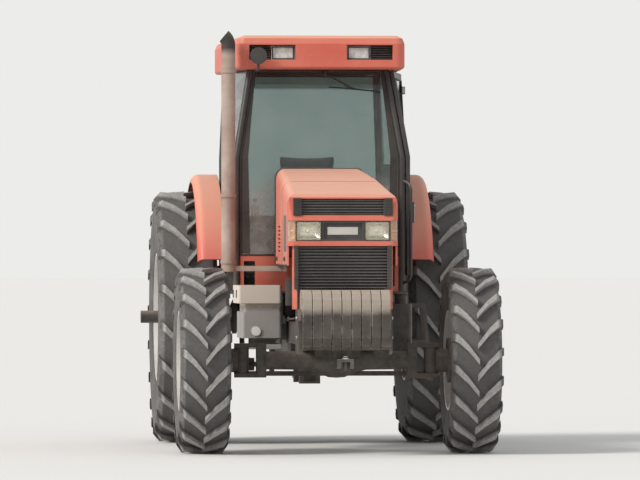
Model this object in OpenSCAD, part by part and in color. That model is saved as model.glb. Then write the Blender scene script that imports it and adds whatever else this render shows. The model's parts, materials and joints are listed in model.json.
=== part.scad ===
/* [Stance] */
// Distance between the front and rear axles
wheelbase = 3000; // [2850:10:3150]
// How far the front weights reach ahead of the front axle
front_reach = 1000; // [980:10:1060]
// Track of the rear wheels, centre to centre
rear_track = 1930; // [1900:10:2100]
// Track of the front wheels, centre to centre
front_track = 1980; // [1960:10:2100]

/* [Tyres] */
// Radius of a rear tyre over its lugs
rear_tyre_r = 975; // [960:5:1000]
// Width of a rear tyre
rear_tyre_w = 470; // [440:10:490]
// Radius of a front tyre over its lugs
front_tyre_r = 683; // [670:1:690]
// Width of a front tyre
front_tyre_w = 380; // [350:10:390]
// Height of a lug above the tread
lug_h = 44; // [30:1:50]
// Thickness of a tyre's casing
tyre_wall = 30; // [20:1:36]
// Radius of a rear rim at the bead seat
rear_rim_r = 483; // [460:1:500]
// Radius of a front rim at the bead seat
front_rim_r = 356; // [340:1:370]

/* [Hood] */
// Where the hood begins, ahead of the rear axle
hood_rear_d = 1400; // [1390:10:1450]
// How far the hood reaches ahead of the front axle
nose_reach = 560; // [540:5:580]
// Width of the hood's flat top at the cab
hood_w_rear = 557; // [520:1:580]
// Width of the hood's flat top at the nose
hood_w_front = 700; // [680:1:720]
// Height of the hood's top at the cab
hood_z_rear = 2110; // [2080:5:2140]
// Height of the hood's top at the nose
hood_z_front = 1903; // [1895:1:1930]
// Height of the hood sides' lower edge
hood_side_z = 1380; // [1370:5:1400]
// Full width of the nose at the lamps
nose_w = 806; // [790:1:830]
// Thickness of the hood's sheet
hood_wall = 14; // [8:1:20]

/* [Cab] */
// Half width of the cab at its middle posts
cab_half_w = 680; // [670:5:690]
// Height of the cab floor's upper face
floor_z = 1180; // [1175:1:1190]
// Height of the roof's lower edge
roof_z = 2867; // [2850:1:2900]
// Thickness of the roof
roof_h = 253; // [230:1:280]
// Half width of the roof
roof_half_w = 640; // [620:5:660]
// Radius of a cab post
post_r = 26; // [22:1:30]
// Thickness of the cab's window glass
glass_t = 6; // [5:1:8]

/* [Hitch] */
// Radius of the bore in a lower link's ball
link_ball_bore_r = 14.25; // [14:0.25:15]
// Radius of the bore in the top link's eye
top_eye_bore_r = 12.75; // [12.5:0.25:13]
// Radius of the hole for the drawbar pin
drawbar_hole_r = 16.5; // [16:0.5:20]
// Radius of the power take-off shaft
pto_r = 17.5; // [17:0.5:22]

/* [Hidden] */

body_red = "orangered";
black = "dimgray";
rubber = "darkslategray";
silver = "silver";
glass_tint = "lightblue";

// Lengths are counted ahead of the rear axle; the frame's origin is under the middle.
link_len = 900;
link_ball_r = 34;
link_pivot_d = -300;
front_end = wheelbase + front_reach;
rear_end = link_len - link_pivot_d + link_ball_r;
y_rear_axle = (front_end - rear_end) / 2;
function ahead(d) = y_rear_axle - d;

rear_x = rear_track / 2;
front_x = front_track / 2;
// Gap left between pieces that rest against each other, and the radial gap of a running pin.
near = 0.3;
run = 0.05;

// Moves a shape from the rear axle's line on the ground to its place.
module place(d = 0, x = 0, z = 0) { translate([x, ahead(d), z]) children(); }
// Box given by its limits across, ahead and up.
module box(x, d, z) {
    translate([x[0], ahead(d[1]), z[0]]) cube([x[1] - x[0], d[1] - d[0], z[1] - z[0]]);
}
// Extrudes an outline drawn as ahead and up, between two places across.
module side_plate(x, points) {
    translate([x[0], y_rear_axle, 0]) rotate([90, 0, 90])
        linear_extrude(x[1] - x[0]) polygon([for (p = points) [-p[0], p[1]]]);
}
// Extrudes an outline drawn as across and up, between two places ahead.
module front_plate(d, points) {
    place(d[0]) rotate([90, 0, 0]) linear_extrude(d[1] - d[0]) polygon(points);
}
// Extrudes an outline drawn as across and ahead, between two heights.
module floor_plate(z, points) {
    translate([0, y_rear_axle, z[0]]) linear_extrude(z[1] - z[0]) polygon([for (p = points) [p[0], -p[1]]]);
}
// Round bar across the tractor.
module cross_bar(d, z, x, r) {
    place(d, x[0], z) rotate([0, 90, 0]) cylinder(r = r, h = x[1] - x[0], $fn = 48);
}
// Round bar along the tractor.
module long_bar(d, x, z, r) {
    place(d[0], x, z) rotate([90, 0, 0]) cylinder(r = r, h = d[1] - d[0], $fn = 48);
}
// Box with its upright edges rounded.
module round_box(x, d, z, r) {
    box([x[0] + r, x[1] - r], d, z);
    box(x, [d[0] + r, d[1] - r], z);
    for (x1 = [x[0] + r, x[1] - r]) for (d1 = [d[0] + r, d[1] - r])
        place(d1, x1, z[0]) cylinder(r = r, h = z[1] - z[0], $fn = 48);
}
// Copies a shape to the other side as well.
module both_sides() { children(); mirror([1, 0, 0]) children(); }

// Tyres
rear_lugs = 20;
front_lugs = 18;
// Stations along a lug: turn in lug pitches, place across in half widths, width round, drop from the
// full radius.
lug_stations = [
    [0.02, -0.03, 42, 0],
    [-0.42, 0.40, 52, 1],
    [-0.72, 0.78, 62, 4],
    [-0.84, 0.985, 66, 62],
];
lug_root = 16;
function lug_corner(s, r, w, pitch, side, deep) = let (
    turn = s[0] * pitch + side * atan(s[2] / 2 / r),
    reach = r - s[3] - (deep ? lug_h + lug_root : 0)
) [reach * cos(turn), reach * sin(turn), s[1] * w / 2];
// A lug runs from the middle of the tread over the shoulder, its outer end ahead at the ground.
module lug(r, w, pitch) {
    corners = [for (s = lug_stations) for (c = [[-1, true], [1, true], [1, false], [-1, false]])
        lug_corner(s, r, w, pitch, c[0], c[1])];
    last = len(lug_stations) - 1;
    quads = concat(
        [[0, 1, 2, 3], [4 * last + 3, 4 * last + 2, 4 * last + 1, 4 * last]],
        [for (i = [0:last - 1]) for (k = [0:3]) [4 * i + k, 4 * i + 4 + k, 4 * i + 4 + (k + 1) % 4,
            4 * i + (k + 1) % 4]]
    );
    polyhedron(corners, [for (q = quads) for (t = [[q[2], q[1], q[0]], [q[3], q[2], q[0]]]) t]);
}

// Half of a tyre's casing as a solid ring, and the air space inside it.
module casing_half(r, w, rim_r) {
    t = r - lug_h;
    rotate_extrude($fn = 96) polygon([
        [rim_r, 0], [rim_r, w * 0.40], [rim_r + 30, w * 0.45], [(rim_r + t) / 2, w * 0.49],
        [t - 60, w * 0.47],
        [t - 14, w * 0.40], [t, 0],
    ]);
}
module air_half(r, w, rim_r) {
    t = r - lug_h - tyre_wall;
    rotate_extrude($fn = 96) polygon([
        [rim_r - 20, -1], [rim_r - 20, w * 0.40 - tyre_wall], [(rim_r + t) / 2, w * 0.49 - tyre_wall],
        [t - 24, w * 0.36],
        [t - 6, -1],
    ]);
}

// A whole tyre with its axis along X.
module tyre(r, w, rim_r, lugs) {
    pitch = 360 / lugs;
    rotate([0, 90, 0]) difference() {
        for (face = [0, 1]) mirror([0, 0, face]) {
            casing_half(r, w, rim_r);
            for (i = [0:lugs - 1]) rotate([0, 0, (i + face / 2) * pitch]) lug(r, w, pitch);
        }
        for (face = [0, 1]) mirror([0, 0, face]) air_half(r, w, rim_r);
    }
}

module rear_tyre_left() {
    color(rubber) place(0, rear_x, rear_tyre_r) tyre(rear_tyre_r, rear_tyre_w, rear_rim_r, rear_lugs);
}
module rear_tyre_right() { mirror([1, 0, 0]) rear_tyre_left(); }
module front_tyre_left() {
    color(rubber) place(wheelbase, front_x, front_tyre_r) tyre(front_tyre_r, front_tyre_w, front_rim_r,
        front_lugs);
}
module front_tyre_right() { mirror([1, 0, 0]) front_tyre_left(); }

// Wheels
rim_wall = 8;
rim_lip = 14;
rim_well = 40;
rear_hub_r = 118;
bar_axle_r = 48;
bar_axle_end = rear_x + 330;
rear_axle_end = 600;
rear_disc_x = rear_x - 60;
front_disc_x = front_x - 40;

// A rim drawn as a revolved profile: well, bead seats and lips.
module rim_barrel(r, w) {
    h = w * 0.42;
    rotate([0, 90, 0]) rotate_extrude($fn = 96) polygon([
        [r - rim_well, -h * 0.45], [r - near, -h * 0.62], [r - near, -h], [r + rim_lip, -h - 2],
        [r + rim_lip, -h - rim_wall],
        [r - rim_wall, -h - rim_wall], [r - rim_wall, -h * 0.62], [r - rim_well - rim_wall, -h * 0.45],
        [r - rim_well - rim_wall, h * 0.45], [r - rim_wall, h * 0.62], [r - rim_wall, h + rim_wall],
        [r + rim_lip, h + rim_wall], [r + rim_lip, h + 2], [r - near, h], [r - near, h * 0.62],
        [r - rim_well, h * 0.45],
    ]);
}
// A dished wheel disc with hand holes and a ring of bosses for its bolts to the barrel.
module wheel_disc(r, dish, hub_r, holes) {
    rim_in = r - rim_well - rim_wall + 2;
    rotate([0, 90, 0]) difference() {
        union() {
            rotate_extrude($fn = 96) polygon([
                [0, 0], [hub_r + 40, 0], [hub_r + 70, 10], [r * 0.70, dish], [rim_in, dish],
                [rim_in, dish + 14],
                [r * 0.68, dish + 14], [hub_r + 60, 26], [hub_r + 36, 16], [0, 16],
            ]);
            for (i = [0:holes - 1]) rotate([0, 0, (i + 0.5) * 360 / holes])
                translate([rim_in - 34, -28, dish - 26])
                cube([34, 56, 66]);
        }
        for (i = [0:holes - 1]) rotate([0, 0, i * 360 / holes]) translate([r * 0.60, 0, -50])
            cylinder(r = r * 0.085, h = 200, $fn = 32);
    }
}

module rear_rim_left() {
    color(silver) place(0, 0, rear_tyre_r) {
        translate([rear_x, 0, 0]) rim_barrel(rear_rim_r, rear_tyre_w);
        translate([rear_disc_x, 0, 0]) wheel_disc(rear_rim_r, 40, rear_hub_r, 8);
        translate([rear_disc_x - 90, 0, 0]) rotate([0, 90, 0]) rotate_extrude($fn = 64) polygon([
            [0, 0], [90, 0], [rear_hub_r, 30], [rear_hub_r, 160], [88, 200], [70, 250], [0, 250],
        ]);
        translate([rear_axle_end + near, 0, 0]) rotate([0, 90, 0])
            cylinder(r = bar_axle_r, h = bar_axle_end - rear_axle_end - near, $fn = 48);
    }
}
module rear_rim_right() { mirror([1, 0, 0]) rear_rim_left(); }
module front_rim_left() {
    color(silver) place(wheelbase, 0, front_tyre_r) {
        translate([front_x, 0, 0]) rim_barrel(front_rim_r, front_tyre_w);
        translate([front_disc_x, 0, 0]) wheel_disc(front_rim_r, 30, 150, 8);
        translate([front_disc_x + 15, 0, 0]) rotate([0, 90, 0]) rotate_extrude($fn = 64) polygon([
            [0, 0], [140, 0], [140, 20], [118, 34], [112, 78], [84, 96], [46, 100], [40, 116], [0, 116],
        ]);
    }
}
module front_rim_right() { mirror([1, 0, 0]) front_rim_left(); }

// Driveline
rail_x = [240, 285];
rail_z = [800, 960];
bolster_z = 850;
housing_end_d = 1650;
engine_d = [housing_end_d + 60, wheelbase - 160];
rails_d = [engine_d[0], wheelbase + nose_reach];
engine_x = 215;
engine_z = [820, 1480];
head_z = 1640;
housing_x = 240;
housing_top_z = 1150;
manifold_z = 1500;
module chassis_rails() {
    color(black) {
        both_sides() box(rail_x, rails_d, rail_z);
        box([-rail_x[0], rail_x[0]], [wheelbase - 140, wheelbase + 140], [bolster_z, rail_z[1]]);
        box([-rail_x[0], rail_x[0]], [rails_d[1] - 60, rails_d[1]], rail_z);
        both_sides() {
            box([engine_x + near, rail_x[0]], [engine_d[0] + 10, engine_d[0] + 60], rail_z);
            side_plate([rail_x[1] - 1, rail_x[1] + 14], [
                [wheelbase - 260, rail_z[1] - 20], [wheelbase - 200, rail_z[0]],
                [wheelbase + 200, rail_z[0]],
                [wheelbase + 260, rail_z[1] - 20],
            ]);
        }
    }
}
// Things bolted to the engine's sides: side, ahead of its rear, height, radius, length up.
engine_cans = [
    [1, 250, 1010, 48, 190], [1, 370, 1010, 48, 190], [1, 560, 1120, 60, 150],
    [-1, 220, 1000, 46, 170], [-1, 640, 1080, 52, 200],
];
module engine() {
    block_end = engine_d[1];
    fan_hub_z = 1240;
    pan_z = 690;
    color(black) {
        box([-engine_x, engine_x], engine_d, [engine_z[0], engine_z[1]]);
        side_plate([-150, 150], [
            [engine_d[0] + 60, engine_z[0]], [engine_d[0] + 140, pan_z], [block_end - 320, pan_z],
            [block_end - 200, engine_z[0]],
        ]);
        round_box([-engine_x + 40, engine_x - 60], [engine_d[0] + 40, block_end - 60],
            [engine_z[1] - 1, head_z], 30);
        round_box([-engine_x + 80, engine_x - 100], [engine_d[0] + 90, block_end - 110],
            [head_z - 1, head_z + 55], 40);
        for (c = engine_cans) {
            x = c[0] * (engine_x + c[3] + 12);
            place(engine_d[0] + c[1], x, c[2]) cylinder(r = c[3], h = c[4], $fn = 40);
            box(c[0] > 0 ? [engine_x - 1, x] : [x, 1 - engine_x],
                [engine_d[0] + c[1] - 20, engine_d[0] + c[1] + 20],
                [c[2] + c[4] - 60, c[2] + c[4] + 12]);
        }
        long_bar([block_end - 1, block_end + 60], 0, fan_hub_z, 90);
        long_bar([block_end - 1, block_end + 40], 0, 1080, 95);
        long_bar([block_end - 1, block_end + 40], 150, 1330, 60);
        box([-engine_x - 70, 1 - engine_x], [engine_d[0] + 240, block_end - 190],
            [manifold_z - 60, manifold_z + 30]);
        for (i = [0:5]) long_bar([engine_d[0] + 250 + i * 80, engine_d[0] + 290 + i * 80], engine_x - 10,
            1400, 24);
    }
}
// Three-point hitch places: arm and lower link stay parallel, so the lift rod keeps its lean
link_z = 600;
link_x = 412;
link_pin_r = 20;
lift_pin_r = 14;
arm_pivot_d = -460;
arm_pivot_z = 1090;
arm_len = 400;
link_lift_d = link_pivot_d - arm_len;
arm_end_d = arm_pivot_d - arm_len;
shaft_r = 40;
arm_x = [link_x - 25, link_x + 25];
rod_x = [arm_x[1] + 1, arm_x[1] + 41];
top_pivot_d = -440;
top_pivot_z = 980;
top_len = 640;
top_pin_r = 12.5;
drawbar_x = 45;
drawbar_z = [480, 525];
drawbar_d = [-1000, 320];
drawbar_hole_d = drawbar_d[0] + 50;
housing_back_d = -380;
pto_z = 760;
module transmission() {
    ear_x = [housing_x - 2, housing_x + 30];
    clevis_x = [30, 45];
    sump_z = 640;
    coupler_x = [110, 200];
    color(black) difference() {
        union() {
            side_plate([-housing_x, housing_x], [
                [housing_back_d, sump_z + 60], [housing_back_d, housing_top_z], [700, housing_top_z],
                [900, housing_top_z - 30],
                [housing_end_d, housing_top_z - 30], [housing_end_d, sump_z + 80], [700, sump_z],
                [300, sump_z],
            ]);
            long_bar([housing_end_d - 1, engine_d[0] - near], 0, 980, engine_x + 40);
            both_sides() {
                side_plate(ear_x, [
                    [link_pivot_d, 900], [link_pivot_d, arm_pivot_z + 55],
                    [arm_pivot_d - 30, arm_pivot_z + 55],
                    [arm_pivot_d - 60, arm_pivot_z + 30], [arm_pivot_d - 60, arm_pivot_z - 60],
                ]);
                side_plate(ear_x, [
                    [link_pivot_d - 70, link_z - 60], [link_pivot_d - 70, 720], [link_pivot_d + 100, 720],
                    [link_pivot_d + 70, link_z - 60],
                ]);
                cross_bar(link_pivot_d, link_z, [ear_x[0], link_x + 40], link_pin_r - run);
                box(clevis_x, [top_pivot_d - 40, housing_back_d + 10],
                    [top_pivot_z - 40, top_pivot_z + 40]);
                box([housing_x - 1, housing_x + 14], [500, 620], [760, 1060]);
                box(coupler_x, [housing_back_d - 60, housing_back_d + 1], [930, 1010]);
                for (x = [coupler_x[0] + 22, coupler_x[1] - 22])
                    long_bar([housing_back_d - 100, housing_back_d - 59], x, 970, 17);
            }
            cross_bar(top_pivot_d, top_pivot_z, [-clevis_x[1], clevis_x[1]], top_pin_r - run);
            place(housing_back_d + 1, 0, pto_z) rotate([-90, 0, 0]) cylinder(r = 85, h = 20, $fn = 64);
            box([-95, 95], [housing_back_d - 90, housing_back_d + 1], [pto_z + 95, pto_z + 103]);
            both_sides() box([87, 95], [housing_back_d - 90, housing_back_d + 1], [pto_z - 40, pto_z + 96]);
            for (hanger = [[-370, -270, 720], [240, 330, 660]]) difference() {
                box([-drawbar_x - 35, drawbar_x + 35], [hanger[0], hanger[1]],
                    [drawbar_z[0] - 20, hanger[2]]);
                box([-drawbar_x - near, drawbar_x + near], [hanger[0] - 1, hanger[1] + 1],
                    [drawbar_z[0] - near, drawbar_z[1] + near]);
            }
        }
        cross_bar(arm_pivot_d, arm_pivot_z, [-link_x, link_x], shaft_r + run);
    }
}
module rear_axle() {
    color(black) both_sides() place(0, housing_x, rear_tyre_r) rotate([0, 90, 0])
        rotate_extrude($fn = 96) polygon([
        [0, 0], [180, 0], [180, 40], [150, 70], [130, 240], [112, rear_axle_end - housing_x - 50],
        [132, rear_axle_end - housing_x - 50], [132, rear_axle_end - housing_x - 20],
        [90, rear_axle_end - housing_x],
        [0, rear_axle_end - housing_x],
    ]);
}
kingpin_x = 700;
kingpin_r = 55;
front_axle_z = front_tyre_r;
beam_end_x = 570;
fork_z = [95, 125];
module front_axle() {
    color(black) {
        place(wheelbase, 0, front_axle_z) both_sides() {
            rotate([0, 90, 0]) rotate_extrude($fn = 72) polygon([
                [0, 0], [128, 0], [124, 60], [86, 150], [70, 220], [66, beam_end_x - 60],
                [80, beam_end_x - 40],
                [0, beam_end_x - 40],
            ]);
            for (m = [0, 1]) mirror([0, 0, m]) translate([beam_end_x - 10, -60, fork_z[0]])
                cube([kingpin_x - beam_end_x + 60, 120, fork_z[1] - fork_z[0]]);
            translate([beam_end_x - 50, -60, -fork_z[1]]) cube([70, 120, 2 * fork_z[1]]);
        }
        for (d = [-140, 100]) box([-170, 170], [wheelbase + d, wheelbase + d + 40],
            [front_axle_z + 30, bolster_z - near]);
        box([-60, 60], [wheelbase - 139, wheelbase + 139], [front_axle_z + 100, bolster_z - near]);
        long_bar([wheelbase - 240, wheelbase - 60], 70, front_axle_z, 62);
    }
}
arm_d = 230;
arm_z = front_axle_z - 40;
module knuckle_left() {
    hub_r = fork_z[0] - 8;
    color(black) {
        place(wheelbase, kingpin_x, front_axle_z - fork_z[0] + near)
            cylinder(r = kingpin_r, h = 2 * fork_z[0] - 2 * near, $fn = 48);
        place(wheelbase, kingpin_x + 30, front_axle_z) rotate([0, 90, 0])
            cylinder(r = hub_r, h = front_disc_x - kingpin_x - 30 - near, $fn = 64);
        place(wheelbase, kingpin_x + 120, front_axle_z) rotate([0, 90, 0])
            cylinder(r = 165, h = front_disc_x - kingpin_x - 120 - near, $fn = 64);
        box([kingpin_x - 22, kingpin_x + 22], [wheelbase - arm_d - 30, wheelbase - 30],
            [arm_z - 15, arm_z + 15]);
    }
}
module knuckle_right() { mirror([1, 0, 0]) knuckle_left(); }
module tie_rod() {
    tie_z = arm_z - 60;
    color(black) {
        cross_bar(wheelbase - arm_d, tie_z, [-kingpin_x, kingpin_x], 18);
        for (side = [[1, near], [-1, 3]])
            place(wheelbase - arm_d, side[0] * kingpin_x, tie_z - 24)
                cylinder(r = 24, h = 24 + 45 - side[1], $fn = 32);
    }
}

// Points of an arc about a centre, from one angle to another.
function arc(centre, r, a, n = 5) = [for (i = [0:n]) let (t = a[0] + (a[1] - a[0]) * i / n)
    [centre[0] + r * cos(t), centre[1] + r * sin(t)]];
function mirrored(points) = concat(points, [for (i = [len(points) - 1:-1:0]) [-points[i][0],
    points[i][1]]]);

// Hood, with sides that lean out to the nose and round shoulders
hood_d = [hood_rear_d, wheelbase + nose_reach];
hood_crown = 15;
side_lean = [60, (nose_w - hood_w_front) / 2];
shoulder_drop = 90;
// Sections of the hood from its rear to the nose: place ahead, half width of the top, half width of the
// side, top.
hood_sections = [
    [hood_d[0], hood_w_rear / 2, hood_w_rear / 2 + side_lean[0], hood_z_rear],
    [(hood_d[0] + hood_d[1]) / 2, (hood_w_rear + hood_w_front) / 4,
        (hood_w_rear + hood_w_front) / 4 + (side_lean[0] + side_lean[1]) / 2,
            (hood_z_rear + hood_z_front) / 2 + hood_crown],
    [hood_d[1], hood_w_front / 2, hood_w_front / 2 + side_lean[1], hood_z_front],
];
// Outline of a section: up one side, round the shoulder as a quarter of an ellipse, and across the top.
function hood_outline(s, wall) = mirrored(concat(
    [[s[2] - wall, hood_side_z - (wall > 0 ? 1 : 0)]],
    [for (p = arc([0, 0], 1, [0, 90]))
        [s[1] + (s[2] - wall - s[1]) * p[0], s[3] - wall - shoulder_drop + shoulder_drop * p[1]]]
));
module hood_body(wall) {
    for (i = [0:1]) hull() for (s = [hood_sections[i], hood_sections[i + 1]])
        place(s[0]) rotate([90, 0, 0]) linear_extrude(1) polygon(hood_outline(s, wall));
}
screen_d = [hood_d[1] - 640, hood_d[1] - 130];
screen_z = [1480, 1745];
vent_d = [hood_d[0] + 420, hood_d[0] + 900];
screen_t = 6;
module hood() {
    color(body_red) {
        difference() {
            hood_body(0);
            hood_body(hood_wall);
            box([-nose_w, nose_w], screen_d, screen_z);
            for (i = [0:6]) box([-nose_w, nose_w], [vent_d[0], vent_d[1]],
                [screen_z[0] + i * 30, screen_z[0] + i * 30 + 14]);
        }
    }
}
module side_screens() {
    color(black) intersection() {
        difference() {
            hood_body(3);
            hood_body(3 + screen_t);
        }
        box([-nose_w, nose_w], [screen_d[0] + near, screen_d[1] - near],
            [screen_z[0] + near, screen_z[1] - near]);
    }
}

// Nose, built round the grilles and lamps
nose_depth = 70;
nose_d = [hood_d[1] + 1 + near, hood_d[1] + nose_depth];
nose_corner_r = 55;
nose_back = 14;
nose_lip = 22;
band_z = [1523, 1560, 1707, 1747];
grille_low_z = 1212;
nose_low_z = 1063;
upper_grille_w = 613;
lower_grille_w = 664;
lower_nose_w = 733;
panel_half_w = 155;
upper_grille_z = [band_z[3], hood_z_front - 14 - nose_lip];
// Outline of the nose as across and ahead, with round front corners.
function nose_plan(w, inset = 0) = mirrored(concat(
    [[w / 2 - inset, nose_d[0]]],
    arc([w / 2 - nose_corner_r, nose_d[1] - nose_corner_r], nose_corner_r - inset, [0, 90])
));
module nose() {
    color(body_red) difference() {
        union() {
            intersection() {
                floor_plate([band_z[0], hood_z_front], nose_plan(nose_w));
                side_plate([-nose_w / 2, nose_w / 2], [
                    [nose_d[0], band_z[0]], [nose_d[0], hood_z_front], [nose_d[0] + 22, hood_z_front - 6],
                    [nose_d[0] + 44, hood_z_front - 26], [nose_d[1] - 8, band_z[3]],
                    [nose_d[1], band_z[2]], [nose_d[1], band_z[0]],
                ]);
                front_plate(nose_d, hood_outline(hood_sections[2], 0));
            }
            floor_plate([nose_low_z, band_z[0] + 1], nose_plan(lower_nose_w));
        }
        box([-upper_grille_w / 2, upper_grille_w / 2], [nose_d[0] - 1, nose_d[1] + 1],
            upper_grille_z);
        box([-nose_w, nose_w], [nose_d[0] + nose_back, nose_d[1] + 1], [band_z[1], band_z[2]]);
        box([-lower_grille_w / 2, lower_grille_w / 2], [nose_d[0] - 1, nose_d[1] + 1],
            [nose_low_z - 1, band_z[0]]);
    }
}
// A dark backing with cross bars in front of it, leaving the lip free.
module grille(w, z, bars, d) {
    pitch = (z[1] - z[0]) / bars;
    box([-w / 2, w / 2], [d[0] + 2, d[0] + 8], z);
    for (i = [0:bars - 1]) box([-w / 2, w / 2], [d[0] + 7, d[1]],
        [z[0] + pitch * (i + 0.3), z[0] + pitch * (i + 0.6)]);
    for (x = [-w / 2, w / 2 - 6]) box([x, x + 6], [d[0] + 2, d[1]], z);
}
module upper_grille() {
    color(black) grille(upper_grille_w - 2 * near, [upper_grille_z[0] + near, upper_grille_z[1] - near], 6,
        [nose_d[0], nose_d[0] + 34]);
}
module lower_grille() {
    color(black) grille(lower_grille_w - 2 * near, [grille_low_z, band_z[0] - near], 14,
        [nose_d[0], nose_d[0] + 44]);
}
lamp_d = [nose_d[0] + nose_back + near, nose_d[1]];
module headlamps() {
    color(silver) both_sides() intersection() {
        floor_plate([band_z[1] + near, band_z[2] - near], nose_plan(nose_w, 3));
        box([panel_half_w + near, nose_w], [lamp_d[0], lamp_d[1]], [band_z[1], band_z[2]]);
    }
}
module lamp_panel() {
    half = panel_half_w - near;
    color(black) {
        box([-half, half], [lamp_d[0], lamp_d[1] - 26], [band_z[1] + near, band_z[2] - near]);
        for (z = [band_z[1] + near, band_z[2] - near - 16])
            box([-half, half], [lamp_d[0], lamp_d[1] - 6], [z, z + 16]);
        for (x = [-half, half - 16]) box([x, x + 16], [lamp_d[0], lamp_d[1] - 6],
            [band_z[1] + near, band_z[2] - near]);
    }
}
radiator_d = [wheelbase + 160, wheelbase + 400];
module radiator() {
    half = 320;
    color(black) {
        box([-half, half], radiator_d, [nose_low_z, 1700]);
        box([-half + 20, half - 20], [radiator_d[0] + 30, radiator_d[1] - 30], [1699, 1780]);
        box([-rail_x[1], rail_x[1]], [radiator_d[0] + 30, radiator_d[1] - 20],
            [rail_z[1] + near, nose_low_z + 1]);
        place(radiator_d[0] + 1, 0, 1300) rotate([-90, 0, 0]) difference() {
            cylinder(r = 290, h = 90, $fn = 72);
            translate([0, 0, -1]) cylinder(r = 276, h = 101, $fn = 72);
        }
    }
}

// Front weights
weight_count = 9;
weight_w = 66;
weight_gap = 5;
weight_z = [770, 1205];
weight_d = [nose_d[1] + 30, front_end];
bracket_d = [rails_d[1] + near, weight_d[0] - near];
weight_carrier_z = [800, 1010];
hook_z = [684, 700];
weight_pack_w = weight_count * weight_w + (weight_count - 1) * weight_gap;
side_strip_x = [weight_pack_w / 2 + near, weight_pack_w / 2 + 24];
module weight_bracket() {
    color(black) {
        box([-rail_x[1], rail_x[1]], bracket_d, weight_carrier_z);
        both_sides() {
            side_plate(side_strip_x, [
                [bracket_d[0], 760], [bracket_d[0], nose_low_z - near],
                [front_end - 210, nose_low_z - near],
                [front_end - 130, 980], [front_end - 130, 760], [front_end - 170, 740],
                [bracket_d[0] + 60, 740],
            ]);
            box([rail_x[1] - 2, side_strip_x[1]], bracket_d, weight_carrier_z);
            box([32, 60], [bracket_d[0], front_end - 110], [hook_z[0] - 48, hook_z[1]]);
        }
        box([-60, 60], [bracket_d[0], front_end - 180], hook_z);
        box([-60, 60], bracket_d, [hook_z[1] - 10, weight_carrier_z[0] + 10]);
        place(front_end - 145, 0, 620) cylinder(r = 16, h = 100, $fn = 32);
        box([-33, 33], [front_end - 180, front_end - 110], hook_z);
    }
}
module front_weights() {
    grip = 26;
    color("slategray") for (i = [0:weight_count - 1])
        translate([-weight_pack_w / 2 + i * (weight_w + weight_gap), 0, 0]) difference() {
            side_plate([0, weight_w], [
                [weight_d[0], weight_z[0] + 60], [weight_d[0], weight_z[1] - 50],
                [weight_d[0] + 40, weight_z[1] - 8],
                [weight_d[0] + 70, weight_z[1]], [weight_d[1] - 90, weight_z[1]],
                [weight_d[1] - 40, weight_z[1] - 25],
                [weight_d[1] - 10, weight_z[1] - 70], [weight_d[1], weight_z[1] - 110],
                [weight_d[1], weight_z[0] + 90],
                [weight_d[1] - 30, weight_z[0] + 30], [weight_d[1] - 80, weight_z[0]],
                [weight_d[0] + 40, weight_z[0]],
            ]);
            cross_bar(weight_d[1] - 90, weight_z[1] - 85, [-1, weight_w + 1], grip);
            box([-1, weight_w + 1], [weight_d[1] - 170, weight_d[1] - 90],
                [weight_z[1] - 85 - grip, weight_z[1] - 85 + grip]);
        }
}

// Cab: plan and lean of its posts, as [ahead, half width] at foot, waist and top
cab_back_d = -450;
post_z = [floor_z, 2200, roof_z];
a_post = [[1315, 632], [1315, 632], [1190, 520]];
b_post = [[350, cab_half_w], [350, cab_half_w], [350, cab_half_w - 30]];
c_post = [[cab_back_d + 30, cab_half_w - 70], [cab_back_d + 30, cab_half_w - 70],
    [cab_back_d + 60, cab_half_w - 100]];
windshield_z = 1450;
rear_sill_z = 1750;
quarter_sill_z = 2150;
// Place on a post's line at a height.
function post_at(p, z) = z <= post_z[1]
    ? p[0] + (p[1] - p[0]) * (z - post_z[0]) / (post_z[1] - post_z[0])
    : p[1] + (p[2] - p[1]) * (z - post_z[1]) / (post_z[2] - post_z[1]);
function opposite(p) = [for (q = p) [q[0], -q[1]]];

module rod_at(q, z, r) { place(q[0], q[1], z) cylinder(r = r, h = 1, center = true,
    $fn = r < 12 ? 8 : 20); }
// A straight bar along a post's line, between two heights.
module post_bar(p, z, r) { hull() for (z1 = z) rod_at(post_at(p, z1), z1, r); }
// A sheet reaches half a millimetre past its heights, so two that meet are set this far apart.
sheet_gap = 1 + near;
// A flat sheet between two posts' lines, from height to height, held clear of the posts.
module sheet(p, q, z, t, inset) {
    hull() for (z1 = z) {
        a = post_at(p, z1);
        b = post_at(q, z1);
        step = (b - a) * inset / norm(b - a);
        rod_at(a + step, z1, t / 2);
        rod_at(b - step, z1, t / 2);
    }
}
// Glass divided at the posts' bend and evenly above it, so that it lies on the posts' lines.
pane_steps = 3;
glass_inset = post_r + glass_t / 2 + 1;
module pane(p, q, z, t, inset) {
    zs = concat(z[0] < post_z[1] ? [z[0]] : [], [for (i = [0:pane_steps]) let (low = max(z[0], post_z[1]))
        low + (z[1] - low) * i / pane_steps]);
    for (i = [0:len(zs) - 2]) sheet(p, q, [zs[i], zs[i + 1]], t, inset);
}

wall_t = 14;
wall_inset = post_r + wall_t / 2 + 1;
floor_t = 20;
wall_foot_z = floor_z - floor_t / 2;
seat_base_d = [120, 480];
seat_stand_z = floor_z + 60;
door_sill_z = 1300;
waist_z = 2090;
// The doorway's rear edge over the fender: its places ahead at the waist, at the knee and at the sill.
cut_d = [885, 940, 1090];
knee_z = 1790;
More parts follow.
